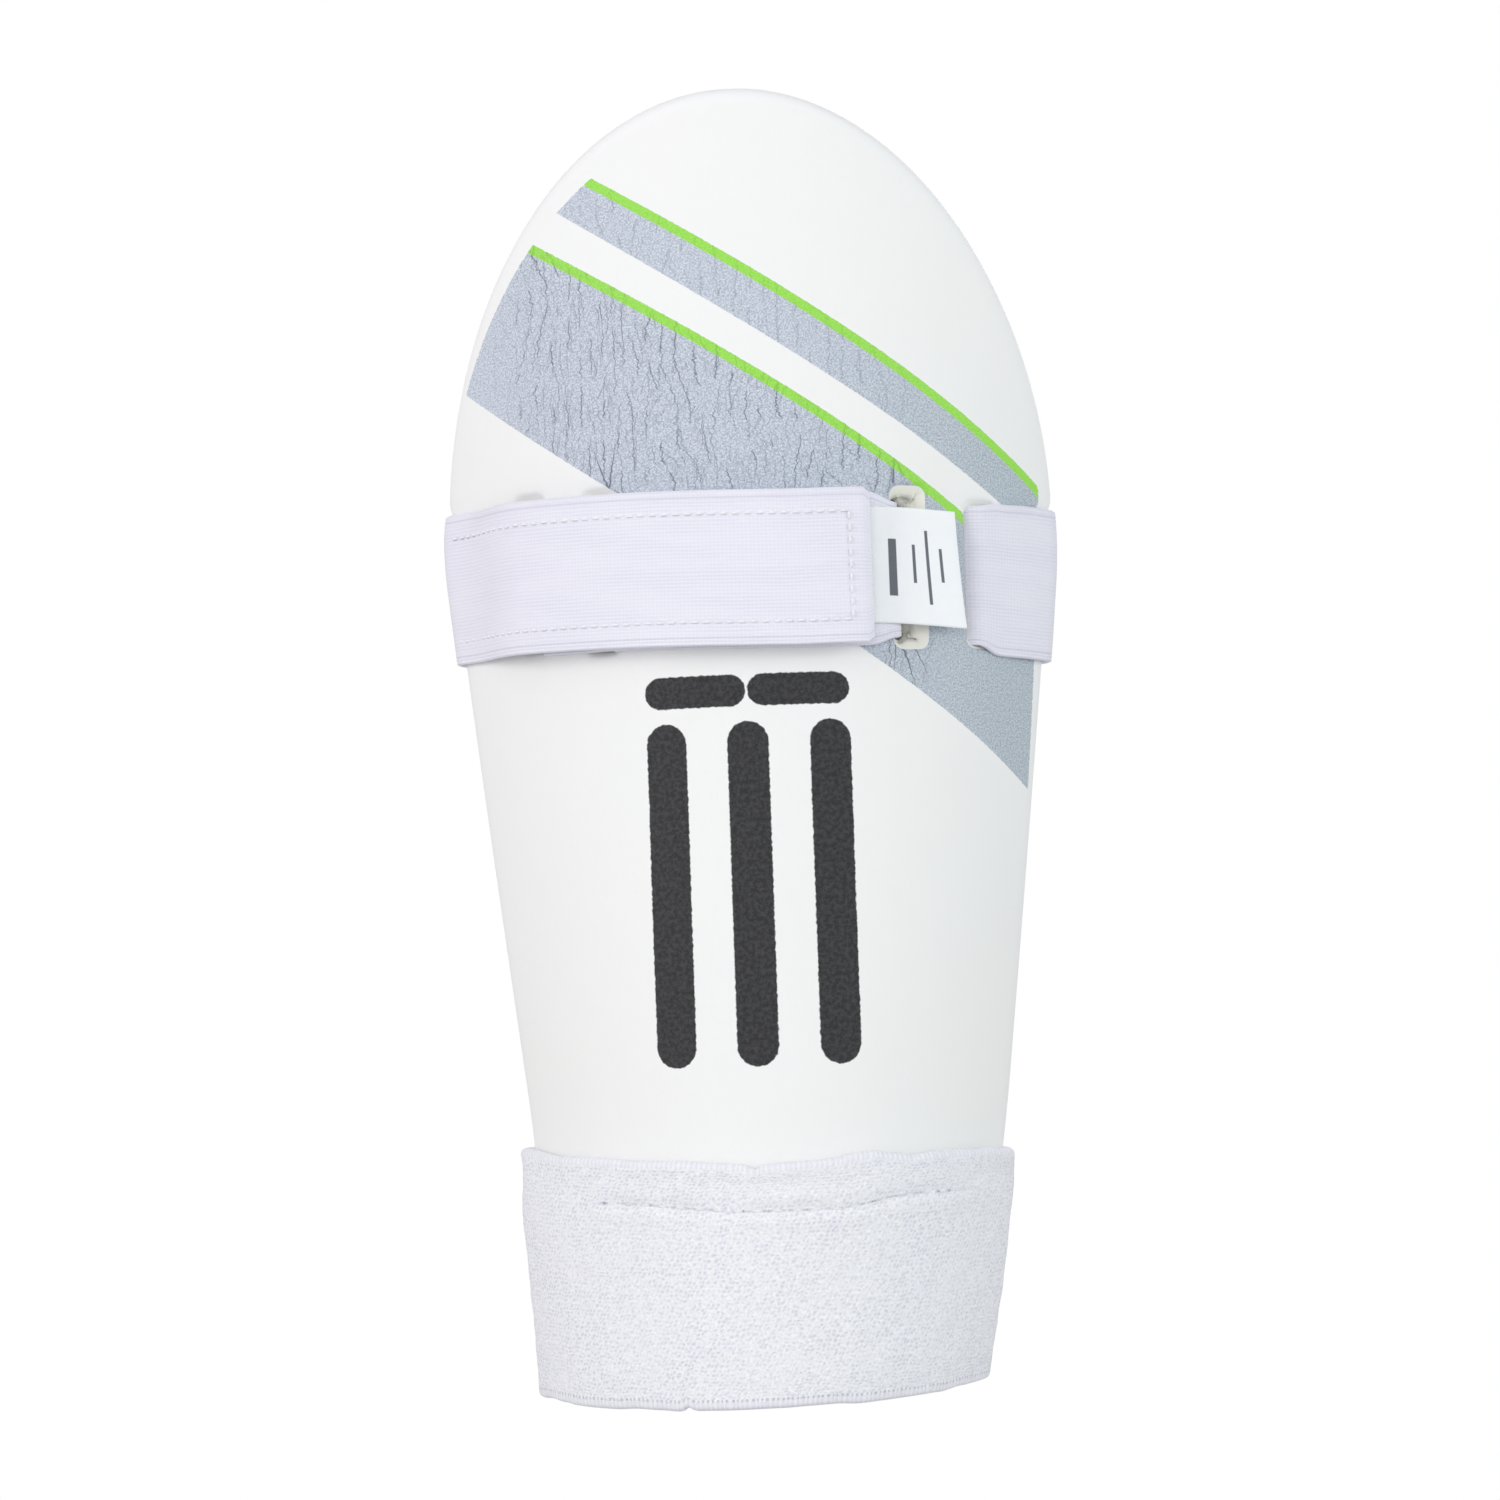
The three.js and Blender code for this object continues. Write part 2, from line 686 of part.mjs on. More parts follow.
const guard = new THREE.Group();
guard.position.y = -MIDDLE_DEPTH;
guard.add(
  piece("foam_shell", foamShell(), COLOURS.foam),
  piece("shell_lining", shellLining(), COLOURS.lining),
  piece("strap_front_run", elastic(frontRunStations()), COLOURS.elastic),
  piece("strap_rear_run", elastic(rearRunStations()), COLOURS.elastic),
  piece("strap_left_wrap", elastic(leftWrapStations()), COLOURS.elastic),
  piece("strap_tab", elastic(tabStations()), COLOURS.elastic),
  piece("hook_patch", tape(hookStations(), HOOK_WIDTH), COLOURS.tape),
  piece("loop_patch", tape(loopStations(), LOOP_WIDTH), COLOURS.tape),
  piece("label_stub", labelStub(), COLOURS.satin),
  piece("label_flap", labelFlap(), COLOURS.satin),
  piece("wristband_front", terry(bandFrontStations()), COLOURS.terry),
  piece("wristband_back", terry(bandBackStations()), COLOURS.terry),
  piece("tab_stitching", tabStitching(), COLOURS.thread),
  piece("loop_patch_stitching", loopStitching(), COLOURS.thread),
  piece("strap_anchor_stitching", anchorStitching(), COLOURS.thread),
  piece("label_stitching", labelStitching(), COLOURS.thread),
  piece("wristband_seam_stitching", seamStitching(), COLOURS.thread),
  piece("wristband_join_stitching", joinStitching(), COLOURS.thread),
);

export default guard;
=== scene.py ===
"""A cricket forearm guard: moulded foam shell, threaded elastic strap, label and terry wristband.

Shapes are worked out in millimetres and become metres when a mesh is made. Most are laid out on the
shell's outer face: s is the distance round the arc from the centre line, n the height above the
face, and z the height over the floor.
"""

import bmesh
import bpy
import numpy as np
from mathutils import Matrix, Vector
from mathutils.geometry import delaunay_2d_cdt


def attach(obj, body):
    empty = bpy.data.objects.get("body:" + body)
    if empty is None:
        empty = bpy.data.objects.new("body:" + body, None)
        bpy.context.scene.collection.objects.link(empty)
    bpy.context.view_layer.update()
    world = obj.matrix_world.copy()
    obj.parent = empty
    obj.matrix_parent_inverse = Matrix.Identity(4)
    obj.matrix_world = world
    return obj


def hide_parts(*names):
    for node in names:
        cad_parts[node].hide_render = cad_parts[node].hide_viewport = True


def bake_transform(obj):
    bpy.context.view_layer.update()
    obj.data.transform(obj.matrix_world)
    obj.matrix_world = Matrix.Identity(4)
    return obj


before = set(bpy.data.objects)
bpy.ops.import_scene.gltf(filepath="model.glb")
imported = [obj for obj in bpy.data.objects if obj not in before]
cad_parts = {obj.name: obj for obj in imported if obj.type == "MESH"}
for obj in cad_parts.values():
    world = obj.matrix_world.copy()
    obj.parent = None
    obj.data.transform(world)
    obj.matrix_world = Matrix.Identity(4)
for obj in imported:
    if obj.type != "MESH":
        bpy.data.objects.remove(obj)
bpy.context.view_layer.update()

MM = 0.001
PI = np.pi

# ---- Sizes, in millimetres, as in the CAD source ----------------------------------------------

LENGTH = 282.0
SHELL_BASE = 1.5
WIDEST_Z = 190.7
WIDEST_HALF = 69.3
WRIST_HALF = 46.4
TAPER_POWER = 1.06
CROWN_POWER = 1.94
CROWN_OPEN = 0.9989
WRIST_RADIUS = 49.0
RADIUS_GAIN = 0.208
FOAM = 9.0
BASE_CORNER = 8.0
WRIST_SHIFT = -2.2
SHIFT_START = 65.0
LINING = 2.5
LINING_INSET = 3.5
GAP = 0.3
SEAT = 0.55
MIDDLE_DEPTH = 20.15

SLOT_NEAR = 36.8
SLOT_FAR = 54.8
SLOT_LEFT_SHIFT = 5.4
SLOT_WIDTH = 8.4
NEAR_SLOT_HEIGHT = 35.2
FAR_SLOT_HEIGHT = 31.8
LEFT_FAR_TALLER = 1.8  # the left far slot's upper end is higher than the right one's
FAR_SLOTS_FROM = 42.0  # slots further round than this are the far ones
SLOT_CORNER = 2.2
SLOT_RISE = 0.8

STRAP_Z = 176.3
STRAP_SLANT = 0.033
STRAP_HUMP = 1.0
STRAP_HUMP_X = 30.0
STRAP_HUMP_WIDTH = 15.0
STRAP_WIDTH = 33.2
STRAP_TURN = 3.0
ELASTIC = 1.3
STRAP_BOW = 9.0
RIM_WRAP = (60.0, 68.0)  # the stretch of s where the strap turns over a side rim
RIM_GIVES = 0.8
TAB_END = 26.2
TAB_HINGE = -64.0
TAPE = 1.0
HOOK_WIDTH = 25.0
HOOK_START = -55.0
HOOK_END = 23.4
LOOP_WIDTH = 30.0
LOOP_START = -11.5
LOOP_END = 21.2
RETURN_END = -13.5

LABEL_START = 21.7
LABEL_FOLD = 27.2
LABEL_END = 46.4
LABEL_WIDTH = 25.0
LABEL_RISE = 0.6
SATIN = 0.4
LABEL_LIFT = 2.2

BAND_HEIGHT = 54.0
TERRY = 2.6
BAND_BOW = 5.0
SEAM_Z = 43.2
SEAM_LEFT = -37.0
SEAM_RIGHT = 46.0

THREAD = 0.35
STITCH_OFFSET = 11.5
JOIN_X = 6.0
ROW_START = -73.0  # where the tab's rows of sewing start, and end
ROW_END = HOOK_END - 1.6

CLOSE = 0.25  # the gap under cloth that is drawn tight on the foam
LAID = CLOSE + ELASTIC / 2
TURNED = LAID + 0.15
DOUBLED = LAID + GAP + ELASTIC
LOOP_HEIGHT = CLOSE + ELASTIC + GAP + TAPE / 2
HOOK_HEIGHT = LOOP_HEIGHT + TAPE + THREAD + 3 * GAP
TAB_HEIGHT = HOOK_HEIGHT + TAPE / 2 + GAP + ELASTIC / 2
LABEL_HEIGHT = CLOSE + ELASTIC + GAP + SATIN / 2
INNER_FACE = -FOAM - GAP - LINING
UNDER_BRIDGE = INNER_FACE - TURNED
NEAR_WALL = SLOT_NEAR - SLOT_WIDTH / 2
BRIDGE_NEAR = SLOT_NEAR + SLOT_WIDTH / 2
BRIDGE_FAR = SLOT_FAR - SLOT_WIDTH / 2
FAR_WALL = SLOT_FAR + SLOT_WIDTH / 2
LEFT_NEAR_WALL = SLOT_LEFT_SHIFT - NEAR_WALL
LEFT_BRIDGE_NEAR = SLOT_LEFT_SHIFT - BRIDGE_NEAR
LEFT_BRIDGE_FAR = SLOT_LEFT_SHIFT - BRIDGE_FAR
SLOT_TURN_S = NEAR_WALL + TURNED + STRAP_TURN
LEFT_TURN_S = SLOT_LEFT_SHIFT - SLOT_TURN_S
STRAP_LEAVE = -0.42
BAND_LEAVE = -0.3
ON_FOAM = SEAT + TERRY / 2


def smooth(x, low, high):
    t = np.clip((x - low) / (high - low), 0, 1)
    return t * t * (3 - 2 * t)


def bell(x, width):
    return np.exp(-((x / width) ** 2))


def mix(a, b, t):
    return a + (b - a) * t


def between(x, rise_from, rise_to, fall_from, fall_to):
    """1 in the middle of a stretch of x, with a smooth rise and fall at its ends."""
    return smooth(x, rise_from, rise_to) * (1 - smooth(x, fall_from, fall_to))


def pack(*parts):
    return np.stack(parts, axis=-1)


def travelled(points):
    """The distance gone at each point of a polyline."""
    return np.concatenate([[0], np.cumsum(np.linalg.norm(np.diff(points, axis=0), axis=1))])


def even_loop(loop, count):
    """A closed loop as count points, evenly spaced."""
    closed = np.concatenate([loop, loop[:1]])
    t = travelled(closed)
    at = np.linspace(0, t[-1], count, endpoint=False)
    return pack(*(np.interp(at, t, closed[:, k]) for k in range(2)))


def nearest(values, wanted):
    return int(np.argmin(np.abs(values - wanted)))


def round_end(distance, radius, least):
    """The share of the full thickness at a distance from an end rounded with that radius."""
    return np.sqrt(np.clip(1 - (1 - np.clip(distance / radius, 0, 1)) ** 2, least, 1))


def hashed(i, j, seed):
    value = np.sin(i * 127.1 + j * 311.7 + seed * 74.7) * 43758.5453
    return value - np.floor(value)


def ripple(x, y, seed=0):
    """Smooth noise from -1 to 1, with one cell to each unit of x and y."""
    x, y = np.broadcast_arrays(np.asarray(x, float), np.asarray(y, float))
    i, j = np.floor(x), np.floor(y)
    u, v = smooth(x - i, 0, 1), smooth(y - j, 0, 1)
    low = mix(hashed(i, j, seed), hashed(i + 1, j, seed), u)
    high = mix(hashed(i, j + 1, seed), hashed(i + 1, j + 1, seed), u)
    return 2 * mix(low, high, v) - 1


# ---- The shell's surface -----------------------------------------------------------------------


def radius_at(z):
    return WRIST_RADIUS + RADIUS_GAIN * z


def half_width_at(z, inset=0.0):
    z = np.asarray(z, float)
    t = CROWN_OPEN * (z - WIDEST_Z) / (LENGTH - inset - WIDEST_Z)
    crown = np.sqrt(np.maximum(0, 1 - np.clip(t, 0, 1) ** CROWN_POWER))
    drop = np.maximum(0, (WIDEST_Z - z) / WIDEST_Z) ** TAPER_POWER
    side = WIDEST_HALF - inset - (WIDEST_HALF - WRIST_HALF) * drop
    return np.where(z >= WIDEST_Z, (WIDEST_HALF - inset) * crown, side)


def half_arc_at(z, inset=0.0):
    r = radius_at(z)
    return r * np.arcsin(half_width_at(z, inset) / r)


def outline_at(z, inset=0.0):
    rise = np.clip(z - SHELL_BASE - inset, 0, BASE_CORNER)
    corner = BASE_CORNER - np.sqrt(BASE_CORNER**2 - (BASE_CORNER - rise) ** 2)
    return half_arc_at(z, inset) - corner


def place(s, n, z):
    s, n, z = np.broadcast_arrays(*(np.asarray(v, float) for v in (s, n, z)))
    r = radius_at(z)
    turn = s / r
    shift = WRIST_SHIFT * np.maximum(0, (SHIFT_START - z) / SHIFT_START) ** 1.3
    x = (r + n) * np.sin(turn) + shift
    y = r - (r + n) * np.cos(turn) - MIDDLE_DEPTH
    return pack(x, y, z)


def strap_centre(x):
    return STRAP_Z - STRAP_SLANT * x + STRAP_HUMP * bell(x - STRAP_HUMP_X, STRAP_HUMP_WIDTH)


def draw_in(middle):
    """Where the cloth dives into a right slot it narrows, and where it leaves the far one its lower
    corner stays tucked. Over the side rims it bows out across its width."""
    s, n, z = unroll(middle)
    front = smooth(n, -11, -5)
    centre = strap_centre(middle[..., 0])
    above = (z - centre) / (STRAP_WIDTH / 2)
    near = between(s, 27, NEAR_WALL + 1, 40, 44) * front
    far = between(s, 48, BRIDGE_FAR, 53, 58.5) * front
    rim = smooth(np.abs(s), *RIM_WRAP)
    moved = middle.copy()
    moved[..., 2] -= near * (2.2 * np.maximum(above, 0) ** 2 - 2.0 * np.maximum(-above, 0) ** 2)
    moved[..., 2] -= far * (0.9 * np.maximum(above, 0) ** 3 - 2.0 * np.maximum(-above, 0) ** 3)
    moved[..., 0] += np.sign(s) * rim * (0.4 - 1.3 * np.maximum(above, 0) ** 2)
    moved[..., 2] += rim * 0.5 * np.maximum(above, 0)
    return moved


def squeezed(points):
    """The foam gives way at its side rims, under the strap's upper edge."""
    s, _, z = unroll(points)
    above = (z - strap_centre(points[..., 0])) / (STRAP_WIDTH / 2)
    under = between(above, 0.0, 0.9, 1.0, 1.2) * smooth(np.abs(s), *RIM_WRAP)
    moved = points.copy()
    moved[..., 0] -= np.sign(s) * RIM_GIVES * under
    return moved


def unroll(points):
    """The s, n and z of places given as x, y and z."""
    z = points[..., 2]
    r = radius_at(z)
    x, y = points[..., 0], r - MIDDLE_DEPTH - points[..., 1]
    return r * np.arctan2(x, y), np.hypot(x, y) - r, z


# ---- Meshes ------------------------------------------------------------------------------------


def make_piece(name, points, faces, vectors, material):
    """A mesh object from points in millimetres, with one vector attribute for each entry."""
    mesh = bpy.data.meshes.new(name)
    points = np.asarray(points, float)
    mesh.from_pydata((points * MM).tolist(), [], [list(map(int, f)) for f in faces])
    for key, values in vectors.items():
        attribute = mesh.attributes.new(key, "FLOAT_VECTOR", "POINT")
        attribute.data.foreach_set("vector", np.asarray(values, np.float32).ravel())
    mesh.polygons.foreach_set("use_smooth", np.ones(len(mesh.polygons), bool))
    mesh.validate()
    mesh.update()
    mesh.materials.append(material)
    obj = bpy.data.objects.new(name, mesh)
    bpy.context.scene.collection.objects.link(obj)
    return obj


def slab_faces(rows, columns):
    """The faces of a closed slab between two sheets of rows x columns points."""
    index = np.arange(2 * rows * columns).reshape(2, rows, columns)
    front, back = index

    def quads(*corners):
        return pack(*corners).reshape(-1, 4)

    return np.concatenate(
        [
            quads(front[:-1, :-1], front[1:, :-1], front[1:, 1:], front[:-1, 1:]),
            quads(back[:-1, :-1], back[:-1, 1:], back[1:, 1:], back[1:, :-1]),
            quads(front[:-1, 0], back[:-1, 0], back[1:, 0], front[1:, 0]),
            quads(front[1:, -1], back[1:, -1], back[:-1, -1], front[:-1, -1]),
            quads(front[0, 1:], back[0, 1:], back[0, :-1], front[0, :-1]),
            quads(front[-1, :-1], back[-1, :-1], back[-1, 1:], front[-1, 1:]),
        ]
    )


def unit(v):
    return v / np.maximum(np.linalg.norm(v, axis=-1, keepdims=True), 1e-9)


def resample(points, step):
    """Smooth curves through points[station, row], with rows kept level, and their lengths."""
    middle = points[:, points.shape[1] // 2]
    t = travelled(middle)
    slope = np.empty_like(points)
    slope[1:-1] = (points[2:] - points[:-2]) / (t[2:] - t[:-2])[:, None, None]
    slope[0] = (points[1] - points[0]) / (t[1] - t[0])
    slope[-1] = (points[-1] - points[-2]) / (t[-1] - t[-2])
    at = np.linspace(0, t[-1], int(round(t[-1] / step)) + 1)
    i = np.clip(np.searchsorted(t, at, side="right") - 1, 0, len(t) - 2)
    gap = t[i + 1] - t[i]
    u = ((at - t[i]) / gap)[:, None, None]
    gap = gap[:, None, None]
    fine = (
        (2 * u**3 - 3 * u**2 + 1) * points[i]
        + (u**3 - 2 * u**2 + u) * gap * slope[i]
        + (3 * u**2 - 2 * u**3) * points[i + 1]
        + (u**3 - u**2) * gap * slope[i + 1]
    )
    return fine, at, t


def lay_ribbon(stations, heights, step):
    """A ribbon's middle surface. Each station gives points at heights: heights[station, row]."""
    rough = np.stack([station(h) for station, h in zip(stations, heights)])
    middle, along, marks = resample(rough, step)
    forward = np.gradient(middle, along, axis=0)
    across = np.gradient(middle, axis=1)
    normal = unit(np.cross(forward, across))
    return middle, normal, along, marks


def end_rows(v):
    """Adds a row just inside each end, so that the end face doesn't bend the cloth's shading."""
    share = 0.02
    first, last = mix(v[:1], v[1:2], share), mix(v[-1:], v[-2:-1], share)
    return np.concatenate([v[:1], first, v[1:-1], last, v[-1:]])


def thicken(name, middle, normal, along, across, half, material, extra=None):
    """A closed cloth piece round a middle surface. half is half its thickness."""
    half = np.broadcast_to(half, middle.shape[:2])[..., None]
    front, back = end_rows(middle + normal * half), end_rows(middle - normal * half)
    rows, columns = front.shape[:2]
    a = np.broadcast_to(end_rows(np.asarray(along)[:, None]), (rows, columns))
    u = np.broadcast_to(across, (rows, columns))
    weave = [pack(a, u, np.full_like(a, side)).reshape(-1, 3) for side in (1.0, -1.0)]
    points = np.concatenate([front.reshape(-1, 3), back.reshape(-1, 3)])
    vectors = {"weave": np.concatenate(weave)}
    if extra is not None:
        vectors["fold"] = np.concatenate([end_rows(extra).reshape(-1, 3)] * 2)
    return make_piece(name, points, slab_faces(rows, columns), vectors, material)


def on_shell(s, n):
    return lambda z: place(s, n, z)


def round_rim(side, angle, clear):
    """Round the side edge: angle PI / 2 is on the outer face, 0 at the edge, -PI / 2 inside."""
    reach = FOAM / 2 + clear
    return lambda z: place(
        side * (half_arc_at(z) - FOAM / 2 + reach * np.cos(angle)),
        -FOAM / 2 + reach * np.sin(angle),
        z,
    )


def behind_arm(share_at, clear, bow, leave):
    """A station on the bowed line behind the arm, at the share of the way from +X to -X that
    share_at gives from the line's two ends."""

    def station(z):
        start, end = round_rim(1, leave, clear)(z), round_rim(-1, leave, clear)(z)
        share = share_at(start, end)
        point = mix(start, end, share)
        point[..., 1:2] += 4 * bow * share * (1 - share)
        return point

    return station


def round_corner(s, n, clear, start, end, steps=4):
    return [
        on_shell(s + clear * np.cos(a), n + clear * np.sin(a))
        for a in np.linspace(start, end, steps + 1)
    ]


# ---- Node materials ----------------------------------------------------------------------------


def linear(*srgb):
    c = np.array(srgb) / 255
    return tuple(np.where(c <= 0.04045, c / 12.92, ((c + 0.055) / 1.055) ** 2.4)) + (1.0,)


class Look:
    """A material and short names for the nodes that it is built from."""

    def __init__(self, name, roughness, sheen=0.0, subsurface=0.0):
        self.material = bpy.data.materials.new(name)
        self.material.use_nodes = True
        self.tree = self.material.node_tree
        self.shader = self.tree.nodes["Principled BSDF"]
        self.shader.inputs["Roughness"].default_value = roughness
        self.shader.inputs["Sheen Weight"].default_value = sheen
        self.shader.inputs["Sheen Roughness"].default_value = 0.6
        if subsurface:
            self.shader.inputs["Subsurface Weight"].default_value = subsurface
            self.shader.inputs["Subsurface Radius"].default_value = (1.0, 0.9, 0.8)
            self.shader.inputs["Subsurface Scale"].default_value = 0.002

    def set(self, socket, value):
        if isinstance(value, bpy.types.NodeSocket):
            self.tree.links.new(value, socket)
        else:
            socket.default_value = value

    def node(self, kind, values, output=0, **settings):
        made = self.tree.nodes.new(kind)
        for key, value in settings.items():
            setattr(made, key, value)
        for key, value in values.items():
            self.set(made.inputs[key], value)
        return made.outputs[output]

    def parts(self, name):
        vector = self.node("ShaderNodeAttribute", {}, "Vector", attribute_name=name)
        split = self.tree.nodes.new("ShaderNodeSeparateXYZ")
        self.tree.links.new(vector, split.inputs[0])
        return tuple(split.outputs)

    def join(self, x, y, z=0.0):
        return self.node("ShaderNodeCombineXYZ", {0: x, 1: y, 2: z})

    def do(self, operation, a, b=0.0, c=0.0):
        made = self.tree.nodes.new("ShaderNodeMath")
        made.operation = operation
        for socket, value in zip(made.inputs, (a, b, c)):
            self.set(socket, value)
        return made.outputs[0]

    def add(self, a, b):
        return self.do("ADD", a, b)

    def sub(self, a, b):
        return self.do("SUBTRACT", a, b)

    def mul(self, a, b):
        return self.do("MULTIPLY", a, b)

    def line(self, x, slope, start):
        return self.do("MULTIPLY_ADD", x, slope, start)

    def sine(self, x, pitch):
        """A wave from 0 to 1 that repeats every pitch."""
        return self.line(self.do("SINE", self.mul(x, 2 * PI / pitch)), 0.5, 0.5)

    def rise(self, x, low, high):
        """0 where x is under low, 1 where it is over high, and smooth between."""
        values = {"Value": x, "From Min": low, "From Max": high}
        return self.node("ShaderNodeMapRange", values, interpolation_type="SMOOTHSTEP")

    def above(self, x, edge, soft=0.12):
        """1 where x is over edge, 0 where it is under, with a soft step between."""
        return self.rise(self.sub(x, edge), -soft, soft)

    def below(self, x, edge, soft=0.12):
        return self.sub(1.0, self.above(x, edge, soft))

    def off(self, x):
        return self.do("ABSOLUTE", x)

    def most(self, first, *others):
        for other in others:
            first = self.do("MAXIMUM", first, other)
        return first

    def held(self, x, low, high):
        """x kept from low to high."""
        return self.do("MINIMUM", self.do("MAXIMUM", x, low), high)

    def noise(self, vector, scale, detail=2.0, roughness=0.5):
        values = {"Vector": vector, "Scale": scale, "Detail": detail, "Roughness": roughness}
        return self.node("ShaderNodeTexNoise", values)

    def cells(self, vector, scale, randomness, feature="F1"):
        values = {"Vector": vector, "Scale": scale, "Randomness": randomness}
        return self.node("ShaderNodeTexVoronoi", values, "Distance", feature=feature)

    def blend(self, factor, a, b, mode="MIX"):
        made = self.tree.nodes.new("ShaderNodeMix")
        made.data_type = "RGBA"
        made.blend_type = mode
        self.set(made.inputs["Factor"], factor)
        for name, value in (("A", a), ("B", b)):
            socket = next(i for i in made.inputs if i.name == name and i.type == "RGBA")
            self.set(socket, value)
        return next(o for o in made.outputs if o.type == "RGBA")

    def tint(self, colour, mask, share, *srgb):
        """The colour, with a share of another laid over it where the mask is 1."""
        return self.blend(self.mul(mask, share), colour, linear(*srgb))

    def finish(self, colour, height, distance, strength):
        """Sets the colour, and relief of a height in millimetres."""
        values = {"Height": height, "Distance": distance * MM, "Strength": strength}
        self.set(self.shader.inputs["Base Color"], colour)
        self.set(self.shader.inputs["Normal"], self.node("ShaderNodeBump", values))
        return self.material


# The printed bands. Each line is (height at s = 0, fall for each millimetre of s, bow, the middle
# and the half length of the bow).
GREEN_UPPER = (243.7, 0.663, 0.8, 20.0, 52.0)
GREY_UPPER_END = (231.5, 0.665, 0.0, 0.0, 50.0)
GREEN_LOWER = (221.7, 0.654, 1.2, 2.0, 47.6)
GREY_LOWER_END = (176.0, 0.679, 0.6, -4.0, 63.0)
GREEN_WIDTH = 2.4

# How far from the rim the bands end: (gain with z, distance, the z of that distance).
LEFT_ENDS = (0.065, 4.4, 221.0)
RIGHT_ENDS = (0.036, 4.8, 131.6)
INK_DEPTH = -2.5  # the ink reaches this n as the outer face turns into the rim

# The mark, three stumps and two bails. Each rounded bar is (left, right, low and high end of its
# middle line, half width).
MARK_BARS = (
    (-17.6, -17.6, 76.0, 140.0, 4.4),
    (0.0, 0.0, 76.0, 140.0, 4.4),
    (17.6, 17.6, 76.0, 140.0, 4.4),
    (-18.6, -3.6, 151.0, 151.0, 3.4),
    (3.6, 18.6, 151.0, 151.0, 3.4),
)

# Creases that run out from the corners of the slots: start (s, z), end (s, z), half width.
CREASES = (
    (33.4, 195.0, 34.2, 203.5, 0.3),
    (36.0, 196.5, 31.0, 205.0, 0.16),
    (34.6, 159.6, 37.6, 150.0, 0.26),
    (37.5, 159.2, 41.0, 152.0, 0.14),
    (33.0, 160.0, 32.0, 153.0, 0.16),
    (-29.0, 196.2, -32.8, 206.0, 0.24),
    (-28.6, 196.2, -26.6, 208.0, 0.22),
    (-33.5, 196.6, -35.0, 201.0, 0.14),
)


